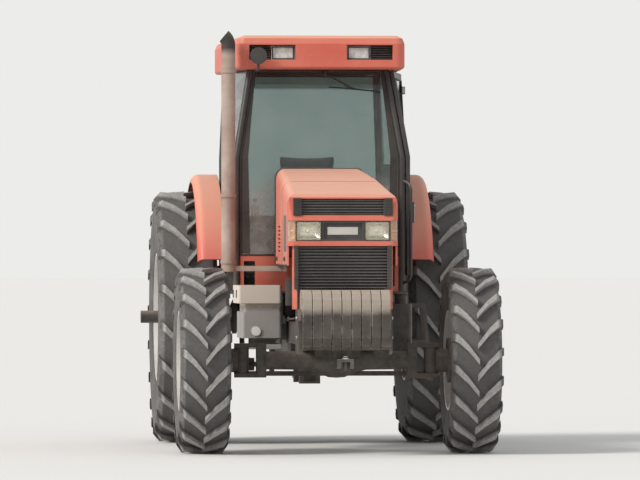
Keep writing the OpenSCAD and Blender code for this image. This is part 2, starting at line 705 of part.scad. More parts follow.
// Outline of the side walls as [ahead, up]: low at the doorway, high beside the fender.
wall_outline = [
    [b_post[0][0], floor_z - floor_t], [b_post[0][0], waist_z], [cut_d[0], waist_z], [cut_d[1], knee_z],
    [cut_d[2], door_sill_z - 8], [a_post[0][0], door_sill_z - 8], [a_post[0][0], floor_z - floor_t],
];
module cab_floor() {
    color(black) {
        floor_plate([floor_z - floor_t, floor_z], mirrored([
            [a_post[0][1] + post_r, a_post[0][0] + post_r], [b_post[0][1] + post_r, b_post[0][0] + 40],
            [b_post[0][1] + post_r, b_post[0][0] - 40], [c_post[0][1] + post_r, c_post[0][0] - post_r],
        ]));
        both_sides() {
            intersection() {
                side_plate([500, 800], wall_outline);
                sheet(a_post, b_post, [wall_foot_z, waist_z + 30], wall_t, wall_inset);
            }
            sheet(b_post, c_post, [wall_foot_z, quarter_sill_z - sheet_gap], wall_t, wall_inset);
            for (d = [-150, 550]) box([150, 230], [d, d + 100],
                [housing_top_z + near, floor_z - floor_t + 1]);
        }
        sheet(c_post, opposite(c_post), [wall_foot_z, rear_sill_z - sheet_gap], wall_t, wall_inset);
        box([-150, 150], [seat_base_d[0] + 20, seat_base_d[1] - 20], [floor_z - 1, seat_stand_z]);
    }
}
// Red panel under the windshield, with a slot on each side of the hood.
module cowl() {
    color(body_red) difference() {
        sheet(a_post, opposite(a_post), [floor_z + 1, windshield_z - sheet_gap], wall_t, wall_inset);
        both_sides() box([490, 575], [a_post[0][0] - 60, a_post[0][0] + 60],
            [floor_z + 40, windshield_z - 40]);
    }
}
module cab_posts() {
    color(black) both_sides() for (post = [a_post, b_post, c_post]) {
        post_bar(post, [floor_z + 1, post_z[1]], post_r);
        post_bar(post, [post_z[1], roof_z - 1], post_r);
    }
}
roof_d = [cab_back_d, 1500];
roof_top_z = roof_z + roof_h;
roof_rear_half_w = roof_half_w + 55;
roof_corner_r = 70;
recess_x = [195, 545];
recess_z = [roof_z + 68, roof_z + 180];
recess_depth = 120;
roof_lamp_x = [200, 375];
module cab_roof() {
    color(body_red) difference() {
        hull() for (level = [[0, 14], [14, 0], [roof_h - 65, 0], [roof_h - 24, 16], [roof_h - 2, 60]])
            for (corner = [[roof_d[0], roof_rear_half_w], [roof_d[1], roof_half_w]]) for (side = [-1, 1])
                place(corner[0] + (corner[0] == roof_d[0] ? 1 : -1) * roof_corner_r,
                    side * (corner[1] - roof_corner_r), roof_z + level[0])
                    cylinder(r = roof_corner_r - level[1], h = 2, $fn = 32);
        both_sides() box(recess_x, [roof_d[1] - recess_depth, roof_d[1] + 1], recess_z);
        round_box([-roof_half_w + 130, roof_half_w - 130], [roof_d[0] + 140, roof_d[1] - 360],
            [roof_z - 1, roof_z + 40], 60);
    }
}
module windshield() {
    color(glass_tint) pane(a_post, opposite(a_post), [windshield_z, roof_z - 6], glass_t, glass_inset);
}
// The door hangs behind on the middle post and fills the side to the front post.
door_t = 26;
hinge_r = 16;
hinge_d = b_post[0][0];
hinge_x = cab_half_w + post_r + near + hinge_r;
door_bar = 55;
door_span = [cab_half_w / 2, rear_x];
// Outline of the door as [ahead, up]: its lower rear corner is cut away over the fender and tyre.
door_outline = [
    [hinge_d + 4, waist_z + 50], [cut_d[0] + 20, waist_z + 50], [cut_d[1] + 20, knee_z],
    [cut_d[2] + 18, door_sill_z + 20], [cut_d[2] + 36, door_sill_z], [a_post[0][0] + 22, door_sill_z],
    [a_post[0][0] + 22, post_z[1] + 10], [a_post[2][0] + 25, roof_z - 12], [hinge_d + 4, roof_z - 12],
];
door_front_d = a_post[0][0] - 30;
handle_x = a_post[1][1] + hinge_x - cab_half_w;
door_window = [
    [hinge_d + door_bar, waist_z + 50 + door_bar], [cut_d[0] + 65, waist_z + 50 + door_bar],
    [cut_d[1] + 70, knee_z + 10], [cut_d[2] + 70, door_sill_z + door_bar],
    [door_front_d, door_sill_z + door_bar], [door_front_d, post_z[1] + 5],
    [a_post[2][0] - 18, roof_z - door_bar - 10], [hinge_d + door_bar, roof_z - door_bar - 10],
];
// The door follows the posts' lines, with its foot standing a little proud.
door_front = [a_post[0] + [15, 8], a_post[1], a_post[2]];
module door_skin(t) {
    translate([hinge_x - cab_half_w, 0, 0]) pane(door_front, b_post, [door_sill_z - 60, roof_z], t, -60);
}
module door_frame() {
    color(black) {
        intersection() {
            difference() {
                side_plate(door_span, door_outline);
                side_plate([door_span[0] - 1, door_span[1] + 1], door_window);
            }
            door_skin(door_t);
        }
        for (z = [2160, roof_z - 167]) place(hinge_d, hinge_x, z) cylinder(r = hinge_r, h = 60, $fn = 32);
        box([handle_x, handle_x + 48], [door_front_d + 6, door_front_d + 34], [1700, 1860]);
    }
}
module door_glass() {
    color(glass_tint) intersection() {
        side_plate(door_span, door_window);
        door_skin(glass_t);
    }
}
// Outline of the right window as [ahead, up], over the cab's side wall.
right_window = [
    [hinge_d, waist_z + near], [cut_d[0] + 3, waist_z + near], [cut_d[1] + 6, knee_z],
    [cut_d[2] + 7, door_sill_z],
    [a_post[0][0] + 70, door_sill_z], [a_post[0][0] + 70, roof_z - 6], [hinge_d, roof_z - 6],
];
module window_right() {
    color(glass_tint) mirror([1, 0, 0]) intersection() {
        side_plate([400, 900], right_window);
        pane(a_post, b_post, [door_sill_z - 20, roof_z - 4], glass_t, glass_inset);
    }
}
module quarter_windows() {
    color(glass_tint) both_sides() pane(b_post, c_post, [quarter_sill_z, roof_z - 6], glass_t, glass_inset);
}
module rear_window() {
    color(glass_tint) pane(c_post, opposite(c_post), [rear_sill_z, roof_z - 6], glass_t, glass_inset);
}
module roof_lamps() {
    lamp_back = roof_d[1] - recess_depth + near;
    color(silver) both_sides() difference() {
        box(roof_lamp_x, [lamp_back, roof_d[1] - 30], [recess_z[0] + near, recess_z[1] - 8]);
        box([roof_lamp_x[0] + 10, roof_lamp_x[1] - 10], [roof_d[1] - 42, roof_d[1]],
            [recess_z[0] + 10, recess_z[1] - 18]);
    }
}

// Fenders over the rear tyres, with the side panel between fender and cab
fender_x = [cab_half_w + post_r + near, 907];
fender_r = [rear_tyre_r + 115, rear_tyre_r + 131];
fender_turn = [24, 150];
fender_side_r = rear_tyre_r - 250;
fender_lip = 45;
fender_t = 16;
fender_corner_r = 60;
// The section turned round the axle, as [radius, place across]: side panel, top, round corner and outer
// lip.
module fender_left() {
    centre = [fender_r[1] - fender_corner_r, fender_x[1] - fender_corner_r];
    section = concat(
        [[fender_side_r, fender_x[0]], [fender_r[1], fender_x[0]]],
        arc(centre, fender_corner_r, [0, 90]),
        [[fender_r[0] - fender_lip, fender_x[1]], [fender_r[0] - fender_lip, fender_x[1] - fender_t]],
        arc(centre, fender_corner_r - fender_t, [90, 0]),
        [[fender_r[0], fender_x[0] + 12], [fender_side_r, fender_x[0] + 12]]
    );
    color(body_red) place(0, 0, rear_tyre_r) rotate([0, 90, 0]) rotate([0, 0, -90 - fender_turn[1]])
        rotate_extrude(angle = fender_turn[1] - fender_turn[0], $fn = 96) polygon(section);
}
module fender_right() { mirror([1, 0, 0]) fender_left(); }

// Exhaust stack beside the hood's right rear corner
stack_x = -710;
stack_d = hood_d[0] + 190;
stack_r = 53;
stack_wall = 4;
stack_z = [1330, roof_top_z - 80];
elbow_r = 90;
bracket_z = [1334, 1374];
module exhaust_stack() {
    color("sienna") {
        place(stack_d, stack_x, stack_z[0]) difference() {
            union() {
                cylinder(r = stack_r, h = stack_z[1] - stack_z[0], $fn = 48);
                for (z = [60, 560, 1500]) translate([0, 0, z]) cylinder(r = stack_r + 6, h = 30, $fn = 48);
            }
            translate([0, 0, 40]) cylinder(r = stack_r - stack_wall, h = stack_z[1], $fn = 48);
        }
        place(stack_d, stack_x - elbow_r, stack_z[1]) rotate([90, 0, 0])
            rotate_extrude(angle = 50, $fn = 48)
            translate([elbow_r, 0]) difference() {
                circle(r = stack_r, $fn = 48);
                circle(r = stack_r - stack_wall, $fn = 48);
            }
        box([stack_x + 40, -engine_x - 71], [stack_d - 20, stack_d + 20], bracket_z);
        box([-engine_x - 82, -engine_x - 70 - near], [stack_d - 20, engine_d[0] + 290],
            [bracket_z[0], manifold_z]);
    }
}

// Side boxes and steps
side_d = [1150, wheelbase - 880];
tank_x = [345, 640];
tank_z = [620, 1090];
bearer_z = [820, 940];
strap_t = 8;
step_d = [1180, 1420];
module fuel_tank() {
    color(black) {
        round_box(tank_x, side_d, tank_z, 45);
        for (d = [step_d[1] - 50, side_d[1] - 240]) {
            box([rail_x[1] + near, tank_x[0] + 1], [d, d + 60], bearer_z);
            for (x = [tank_x[0] - strap_t, tank_x[1] - 1])
                box([x, x + strap_t + 1], [d, d + 60], [tank_z[0] - strap_t, tank_z[1] + strap_t]);
            for (z = [tank_z[0] - strap_t, tank_z[1] - 1])
                box([tank_x[0] - strap_t, tank_x[1] + strap_t], [d, d + 60], [z, z + strap_t + 1]);
        }
        place(side_d[1] - 80, 560, tank_z[1] - 1) cylinder(r = 48, h = 60, $fn = 40);
    }
}
battery_d = [1500, side_d[1]];
module battery_box() {
    color("tan") {
        round_box([-670, -340], battery_d, [1095, 1230], 24);
        round_box([-620, -345], [battery_d[0] + 20, battery_d[1] - 30], [1030, 1096], 20);
        round_box([-640, -340], battery_d, [835, 1031], 24);
        box([-600, -345], [battery_d[0] + 60, battery_d[1] - 10], [752, 790]);
        for (d = [battery_d[0] + 120, battery_d[1] - 120]) box([-560, -380], [d, d + 20], [789, 836]);
        box([-341, -rail_x[1] - near], [1700, 1800], bearer_z);
    }
}
step_x = [660, 860];
step_z = [520, 1085];
step_t = 25;
module steps() {
    rise = (step_z[1] - step_z[0] - step_t) / 2;
    color(black) {
        for (i = [0:2]) box([step_x[0], step_x[1] - i * 30], step_d,
            [step_z[0] + i * rise, step_z[0] + i * rise + step_t]);
        for (d = [step_d[0], step_d[1] - 12]) {
            box([tank_x[1] + strap_t + near, step_x[0] + 5], [d, d + 12], step_z);
            front_plate([d, d + 12], [
                [step_x[1] - 30, step_z[0] - 20], [step_x[1], step_z[0] - 20], [step_x[1] - 60, step_z[1]],
                [step_x[1] - 90, step_z[1]],
            ]);
            box([step_x[0], step_x[1] - 61], [d, d + 12], [step_z[1] - 30, step_z[1]]);
        }
    }
}
seat_d = [60, 560];
seat_z = [floor_z + 270, floor_z + 380];
module seat() {
    color(black) {
        box([-180, 180], seat_base_d, [seat_stand_z + near, floor_z + 110]);
        place(300, 0, floor_z + 100) cylinder(r = 90, h = 171, $fn = 40);
        round_box([-250, 250], seat_d, seat_z, 60);
        side_plate([-235, 235], [
            [seat_d[0] + 70, seat_z[1] - 10], [seat_d[0] - 40, seat_z[1] - 10],
            [seat_d[0] - 110, floor_z + 1070],
            [seat_d[0] - 30, floor_z + 1070], [seat_d[0] + 20, floor_z + 700],
        ]);
        both_sides() {
            box([250, 320], [100, 480], [floor_z + 480, floor_z + 530]);
            box([249, 290], [110, 190], [floor_z + 330, floor_z + 481]);
        }
    }
}
wheel_r = 195;
module steering_console() {
    color(black) {
        side_plate([-140, 140], [
            [1265, floor_z + near], [1240, 1900], [1150, 1980], [985, 1930], [1000, 1860], [1110, 1820],
            [1100, floor_z + near],
        ]);
        place(935, 0, 2010) rotate([-28, 0, 0]) {
            rotate_extrude($fn = 64) translate([wheel_r, 0]) circle(r = 15, $fn = 16);
            for (a = [0, 120, 240]) rotate([0, 0, a + 90]) translate([0, -12, -8])
                cube([wheel_r - 5, 24, 16]);
            translate([0, 0, -110]) cylinder(r = 34, h = 122, $fn = 32);
        }
    }
}
// A small round mirror on an arm under the roof's right front corner.
mirror_at = [roof_d[1] + 60, -480, roof_z + 95];
module mirrors() {
    color(black) {
        place(mirror_at[0], mirror_at[1], mirror_at[2]) rotate([90, 0, 0])
            cylinder(r1 = 58, r2 = 64, h = 26, $fn = 48);
        box([mirror_at[1] - 10, mirror_at[1] + 10], [roof_d[1] - 140, mirror_at[0] + 10],
            [roof_z - 14 - near, roof_z - near]);
        box([mirror_at[1] - 10, mirror_at[1] + 10], [mirror_at[0] - 6, mirror_at[0] + 10],
            [roof_z - 14 - near, mirror_at[2] - 40]);
    }
}

module rockshaft() {
    color(black) {
        cross_bar(arm_pivot_d, arm_pivot_z, [-arm_x[1], arm_x[1]], shaft_r);
        both_sides() {
            cross_bar(arm_pivot_d, arm_pivot_z, arm_x, 55);
            cross_bar(arm_end_d, arm_pivot_z, arm_x, 36);
            cross_bar(arm_end_d, arm_pivot_z, [arm_x[1] - 1, rod_x[1]], lift_pin_r - run);
            side_plate(arm_x, [
                [arm_pivot_d, arm_pivot_z - 54], [arm_pivot_d, arm_pivot_z + 54],
                [arm_pivot_d - 150, arm_pivot_z + 58],
                [arm_end_d, arm_pivot_z + 35], [arm_end_d, arm_pivot_z - 35],
            ]);
        }
    }
}
link_r = 45;
module lower_link_left() {
    color(black) difference() {
        union() {
            side_plate([link_x - 15, link_x + 15], [
                [link_pivot_d - link_len, link_z - 28], [link_pivot_d - link_len, link_z + 28],
                [link_lift_d - 90, link_z + link_r], [link_lift_d + 120, link_z + link_r],
                [link_pivot_d, link_z + 40],
                [link_pivot_d, link_z - 40], [link_lift_d + 120, link_z - link_r],
                [link_lift_d - 90, link_z - link_r],
            ]);
            cross_bar(link_pivot_d - link_len, link_z, [link_x - 22, link_x + 22], link_ball_r);
            cross_bar(link_pivot_d, link_z, [link_x - 20, link_x + 20], 50);
            cross_bar(link_lift_d, link_z, [link_x, rod_x[1]], lift_pin_r - run);
        }
        cross_bar(link_pivot_d - link_len, link_z, [link_x - 60, link_x + 60], link_ball_bore_r);
        cross_bar(link_pivot_d, link_z, [link_x - 60, link_x + 60], link_pin_r);
    }
}
module lower_link_right() { mirror([1, 0, 0]) lower_link_left(); }
module lift_rod_left() {
    ends = [[link_lift_d, link_z], [arm_end_d, arm_pivot_z]];
    rod_mid = (rod_x[0] + rod_x[1]) / 2;
    length = norm(ends[1] - ends[0]);
    lean = atan((arm_end_d - link_lift_d) / (arm_pivot_z - link_z));
    color(black) difference() {
        union() {
            for (e = ends) cross_bar(e[0], e[1], rod_x, 34);
            place(link_lift_d, rod_mid, link_z) rotate([lean, 0, 0]) {
                cylinder(r = 16, h = length, $fn = 32);
                translate([0, 0, length * 0.25]) cylinder(r = 20, h = length * 0.4, $fn = 32);
            }
        }
        cross_bar(arm_end_d, arm_pivot_z, [rod_x[0] - 1, rod_x[1] + 1], lift_pin_r);
        cross_bar(link_lift_d, link_z, [rod_x[0] - 1, rod_x[1] + 1], lift_pin_r + 1);
    }
}
module lift_rod_right() { mirror([1, 0, 0]) lift_rod_left(); }
module top_link() {
    end_d = top_pivot_d - top_len;
    color(black) difference() {
        union() {
            long_bar([end_d, top_pivot_d], 0, top_pivot_z, 17);
            long_bar([end_d + 130, top_pivot_d - 130], 0, top_pivot_z, 27);
            cross_bar(top_pivot_d, top_pivot_z, [-25, 25], 32);
            cross_bar(end_d, top_pivot_z, [-25, 25], 36);
        }
        cross_bar(top_pivot_d, top_pivot_z, [-30, 30], top_pin_r);
        cross_bar(end_d, top_pivot_z, [-30, 30], top_eye_bore_r);
    }
}
module drawbar() {
    color(black) difference() {
        floor_plate(drawbar_z, mirrored([
            [drawbar_x, drawbar_d[1]], [drawbar_x, drawbar_d[0] + 30], [drawbar_x - 22, drawbar_d[0]],
        ]));
        place(drawbar_hole_d, 0, drawbar_z[0] - 10) cylinder(r = drawbar_hole_r, h = 70, $fn = 32);
    }
}
module pto_shaft() {
    color(silver) place(housing_back_d - 19 - near, 0, pto_z) rotate([-90, 0, 0])
        cylinder(r = pto_r, h = 90, $fn = 32);
}

chassis_rails();
engine();
transmission();
rear_axle();
front_axle();
knuckle_left();
knuckle_right();
tie_rod();
rear_tyre_left();
rear_tyre_right();
front_tyre_left();
front_tyre_right();
rear_rim_left();
rear_rim_right();
front_rim_left();
front_rim_right();
hood();
nose();
upper_grille();
lower_grille();
side_screens();
headlamps();
lamp_panel();
radiator();
weight_bracket();
front_weights();
cab_floor();
cowl();
cab_posts();
cab_roof();
windshield();
door_frame();
door_glass();
window_right();
quarter_windows();
rear_window();
roof_lamps();
fender_left();
fender_right();
exhaust_stack();
fuel_tank();
battery_box();
steps();
seat();
steering_console();
mirrors();
rockshaft();
lower_link_left();
lower_link_right();
lift_rod_left();
lift_rod_right();
top_link();
drawbar();
pto_shaft();
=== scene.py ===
import bpy
import bmesh
import json
import math
from mathutils import Matrix, Vector


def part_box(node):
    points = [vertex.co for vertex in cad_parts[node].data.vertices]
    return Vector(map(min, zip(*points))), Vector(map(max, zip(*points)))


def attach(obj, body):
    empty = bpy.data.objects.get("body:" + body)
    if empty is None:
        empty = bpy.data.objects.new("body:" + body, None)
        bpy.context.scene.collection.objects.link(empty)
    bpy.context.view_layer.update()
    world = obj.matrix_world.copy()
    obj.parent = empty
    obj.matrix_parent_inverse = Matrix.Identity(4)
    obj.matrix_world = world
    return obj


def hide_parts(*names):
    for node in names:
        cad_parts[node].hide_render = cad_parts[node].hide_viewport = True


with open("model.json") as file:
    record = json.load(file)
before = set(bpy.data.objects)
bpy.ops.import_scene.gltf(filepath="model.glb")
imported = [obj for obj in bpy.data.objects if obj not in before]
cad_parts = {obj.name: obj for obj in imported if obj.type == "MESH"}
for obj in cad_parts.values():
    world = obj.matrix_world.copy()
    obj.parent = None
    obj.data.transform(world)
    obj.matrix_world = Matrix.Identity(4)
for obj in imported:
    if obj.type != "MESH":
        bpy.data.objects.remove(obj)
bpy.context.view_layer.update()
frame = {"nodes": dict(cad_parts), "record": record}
print("frame loaded")


# Shader helpers

def feed(tree, node, values):
    for socket, value in values.items():
        if isinstance(value, bpy.types.NodeSocket):
            tree.links.new(value, node.inputs[socket])
        else:
            node.inputs[socket].default_value = value


def shaderNode(tree, kind, values=None, **settings):
    made = tree.nodes.new(kind)
    for name, value in settings.items():
        setattr(made, name, value)
    feed(tree, made, values or {})
    return made


def emptyMaterial(name):
    material = bpy.data.materials.new(name)
    material.use_nodes = True
    tree = material.node_tree
    tree.nodes.clear()
    shader = shaderNode(tree, "ShaderNodeBsdfPrincipled")
    output = shaderNode(tree, "ShaderNodeOutputMaterial")
    tree.links.new(shader.outputs[0], output.inputs[0])
    return material, tree, shader, output


def placed(name, data):
    made = bpy.data.objects.new(name, data)
    bpy.context.scene.collection.objects.link(made)
    return made


def solid(colour):
    return (colour[0], colour[1], colour[2], 1.0)


def mixColour(tree, factor, first, second):
    return shaderNode(tree, "ShaderNodeMix", {0: factor, 6: first, 7: second}, data_type="RGBA").outputs[2]


def calc(tree, operation, first, second=0.0, clamp=False):
    return shaderNode(tree, "ShaderNodeMath", {0: first, 1: second}, operation=operation, use_clamp=clamp).outputs[0]


def times(tree, first, second, clamp=False):
    return calc(tree, "MULTIPLY", first, second, clamp)


def plus(tree, first, second, clamp=False):
    return calc(tree, "ADD", first, second, clamp)


def ranged(tree, value, low, high, toLow=0.0, toHigh=1.0):
    return shaderNode(tree, "ShaderNodeMapRange", {0: value, 1: low, 2: high, 3: toLow, 4: toHigh}).outputs[0]


def noise(tree, coords, scale, detail=5.0, rough=0.6):
    made = shaderNode(tree, "ShaderNodeTexNoise", {"Vector": coords, "Scale": scale, "Detail": detail,
                                                   "Roughness": rough})
    return made.outputs[0]


def objectCoords(tree):
    return shaderNode(tree, "ShaderNodeTexCoord").outputs["Object"]


def parts(tree, vector):
    return shaderNode(tree, "ShaderNodeSeparateXYZ", {0: vector}).outputs


# Distance from a line along x, given by its place in y and z
def axisReach(tree, coords, centre):
    moved = shaderNode(tree, "ShaderNodeMapping", {"Vector": coords, "Location": (0.0, -centre[0], -centre[1])})
    flat = shaderNode(tree, "ShaderNodeVectorMath", {0: moved.outputs[0], 1: (0.0, 1.0, 1.0)}, operation="MULTIPLY")
    return shaderNode(tree, "ShaderNodeVectorMath", {0: flat.outputs[0]}, operation="LENGTH").outputs["Value"]


def roundedEdges(tree, radius):
    return shaderNode(tree, "ShaderNodeBevel", {"Radius": radius}, samples=4).outputs[0]


def withBump(tree, shader, strength, deep, height, normal=None):
    made = shaderNode(tree, "ShaderNodeBump", {"Strength": strength, "Distance": deep, "Height": height})
    if normal is not None:
        tree.links.new(normal, made.inputs["Normal"])
    tree.links.new(made.outputs[0], shader.inputs["Normal"])


# What a dusty finish has where its look doesn't say otherwise
plainLook = {
    "patch": 2.2, "grain": 90.0, "zones": (), "zoneBlur": 0.04, "bleachAndLitShare": 0.6, "dustTopZ": 1.5, "dustFullZ": 0.4,
    "dustSide": 0.6, "dustUp": 0.5, "dustEven": 0.06, "dustColour": (0.42, 0.345, 0.28), "edge": 0.004, "edgeWearAndGlintShare": 0.7,
    "metal": 0.0, "coat": 0.0, "coatRough": 0.25, "bump": 0.12,
}


# Painted or bare metal and plastic with fading, field dust and worn edges; where a look asks for it, up-facing faces
# also get a painted sunlit highlight, and edges a painted glint
def dustyFinish(name, own):
    look = {**plainLook, **own}
    material, tree, shader, output = emptyMaterial(name)
    coords = objectCoords(tree)
    xyz = parts(tree, coords)
    normal = parts(tree, shaderNode(tree, "ShaderNodeNewGeometry").outputs["Normal"])
    patches = noise(tree, coords, look["patch"], 6.0)
    grain = noise(tree, coords, look["grain"], 4.0)
    speckle = noise(tree, coords, 14.0, 8.0, 0.7)
    faded = mixColour(tree, ranged(tree, patches, 0.36, 0.66), solid(look["base"]), solid(look["faded"]))
    # Bands of another tone along one axis; on the fenders the band is a painted highlight
    for axis, start, end, tone in look["zones"]:
        wander = times(tree, calc(tree, "SUBTRACT", speckle, 0.5), look["zoneBlur"])
        faded = mixColour(tree, ranged(tree, plus(tree, xyz[axis], wander), start, end), faded, solid(tone))
    if "core" in look:
        centre, radius, tone = look["core"]
        edge = ranged(tree, axisReach(tree, coords, centre), radius + 0.0015, radius + 0.0005)
        faded = mixColour(tree, edge, faded, solid(tone))
    up = ranged(tree, normal[2], 0.25, 0.95)
    # Up-facing faces mix towards a lighter tone: partly sun-bleached paint, partly a painted sunlit highlight
    if "bleachAndLitTop" in look:
        faded = mixColour(tree, times(tree, up, look["bleachAndLitShare"]), faded, solid(look["bleachAndLitTop"]))
    low = ranged(tree, xyz[2], look["dustTopZ"], look["dustFullZ"], 0.0, look["dustSide"])
    lying = times(tree, up, look["dustUp"])
    broken = ranged(tree, plus(tree, times(tree, speckle, 0.6), times(tree, patches, 0.4)), 0.38, 0.62)
    cover = plus(tree, low, plus(tree, lying, look["dustEven"]))
    dust = times(tree, cover, plus(tree, times(tree, broken, 0.75), 0.25), True)
    colour = mixColour(tree, dust, faded, solid(look["dustColour"]))
    rounded = roundedEdges(tree, look["edge"])
    # Lighter edges: worn paint and metal, and on the weights also a painted glint along each edge
    if "worn" in look:
        sharp = shaderNode(tree, "ShaderNodeNewGeometry").outputs["Normal"]
        along = shaderNode(tree, "ShaderNodeVectorMath", {0: rounded, 1: sharp},
                           operation="DOT_PRODUCT").outputs["Value"]
        edgeWearAndGlintMask = times(tree, ranged(tree, along, 0.995, 0.90), ranged(tree, speckle, 0.45, 0.62), True)
        colour = mixColour(tree, times(tree, edgeWearAndGlintMask, look["edgeWearAndGlintShare"]), colour, solid(look["worn"]))
    rough = plus(tree, times(tree, dust, 0.45),
                 ranged(tree, patches, 0.3, 0.7, look["rough"] - 0.06, look["rough"] + 0.08), True)
    feed(tree, shader, {"Base Color": colour, "Metallic": look["metal"], "Coat Weight": look["coat"],
                        "Coat Roughness": look["coatRough"], "Roughness": rough})
    height = plus(tree, grain, times(tree, speckle, 1.5))
    withBump(tree, shader, look["bump"], 0.002, height, rounded)
    return material


# Tyre rubber: dusty lug tops and a soiled casing, by distance from the wheel's axis
def tyreFinish(name, look):
    material, tree, shader, output = emptyMaterial(name)
    coords = objectCoords(tree)
    reach = axisReach(tree, coords, look["centre"])

    def between(depths, toLow=0.0, toHigh=1.0):
        return ranged(tree, reach, *[look["radius"] - deep for deep in look[depths]], toLow, toHigh)

    patches = noise(tree, coords, 5.0, 6.0)
    speckle = noise(tree, coords, 38.0, 8.0, 0.7)
    grain = noise(tree, coords, 190.0, 4.0)
    tread = between("lugTop")
    casing = mixColour(tree, ranged(tree, patches, 0.35, 0.65), solid(look["rubber"]), solid(look["greyed"]))
    soil = times(tree, ranged(tree, speckle, 0.38, 0.62), ranged(tree, patches, 0.3, 0.75, 0.25, 1.0))
    soiled = times(tree, soil, between("soilDeep", 0.15, 0.85), True)
    colour = mixColour(tree, soiled, casing, solid(look["soil"]))
    root = times(tree, between("rootFrom"), between("rootTo"))
    colour = mixColour(tree, times(tree, root, 0.75), colour, solid(look["groove"]))
    colour = mixColour(tree, times(tree, tread, ranged(tree, speckle, 0.3, 0.7, 0.45, 0.95)), colour,
                       solid(look["treadDust"]))
    feed(tree, shader, {"Base Color": colour, "Roughness": ranged(tree, patches, 0.3, 0.7, 0.78, 0.95)})
    rings = calc(tree, "SINE", times(tree, reach, look["ringPitch"]))
    onSide = times(tree, times(tree, rings, between("ringDeep")), 0.5)
    height = plus(tree, plus(tree, grain, speckle), onSide)
    withBump(tree, shader, 0.35, 0.003, height, roundedEdges(tree, 0.008))
    return material


# Tinted glass with a thin film of dust
def glassFinish(name, look):
    material, tree, shader, output = emptyMaterial(name)
    coords = objectCoords(tree)
    patches = noise(tree, coords, 3.0, 6.0)
    speckle = noise(tree, coords, 24.0, 6.0, 0.6)
    feed(tree, shader, {"Transmission Weight": 1.0, "IOR": 1.45})
    tint = mixColour(tree, ranged(tree, patches, 0.3, 0.7), solid(look["tint"]), solid(look["tint2"]))
    if "shade" in look:
        tint = mixColour(tree, ranged(tree, parts(tree, coords)[2], look["shadeFrom"] - 0.01,
                                      look["shadeFrom"] + 0.01), tint, solid(look["shade"]))
    feed(tree, shader, {"Base Color": tint, "Roughness": ranged(tree, speckle, 0.3, 0.8, 0.01, 0.05)})
    film = shaderNode(tree, "ShaderNodeBsdfDiffuse", {"Color": solid(look["film"])})
    amount = times(tree, ranged(tree, patches, 0.35, 0.75, look["filmLow"], look["filmHigh"]),
                  ranged(tree, speckle, 0.3, 0.7, 0.6, 1.0))
    if "soiledBelow" in look:
        wander = times(tree, calc(tree, "SUBTRACT", patches, 0.5), 0.25)
        soiled = ranged(tree, plus(tree, parts(tree, coords)[2], wander), look["soiledBelow"] + 0.05,
                        look["soiledBelow"] - 0.10, 0.0, look["soil"])
        amount = plus(tree, amount, times(tree, soiled, ranged(tree, noise(tree, coords, 9.0, 8.0, 0.65), 0.35, 0.65,
                                                               0.45, 1.0)), True)
    if "flutes" in look:
        waves = calc(tree, "SINE", times(tree, parts(tree, coords)[0], 2 * math.pi / look["flutes"]))
        withBump(tree, shader, 0.6, 0.0015, waves)
    both = shaderNode(tree, "ShaderNodeMixShader", {0: amount, 1: shader.outputs[0], 2: film.outputs[0]})
    clear = shaderNode(tree, "ShaderNodeBsdfTransparent", {"Color": solid([c * 0.9 for c in look["tint"]])})
    lampRay = shaderNode(tree, "ShaderNodeLightPath").outputs["Is Shadow Ray"]
    pane = shaderNode(tree, "ShaderNodeMixShader", {0: lampRay, 1: both.outputs[0], 2: clear.outputs[0]})
    tree.links.new(pane.outputs[0], output.inputs[0])
    return material


rearAxleY = (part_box("rear_tyre_left")[0][1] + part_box("rear_tyre_left")[1][1]) / 2
rearRadius = (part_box("rear_tyre_left")[1][2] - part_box("rear_tyre_left")[0][2]) / 2
frontAxleY = (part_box("front_tyre_left")[0][1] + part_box("front_tyre_left")[1][1]) / 2
frontRadius = (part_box("front_tyre_left")[1][2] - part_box("front_tyre_left")[0][2]) / 2

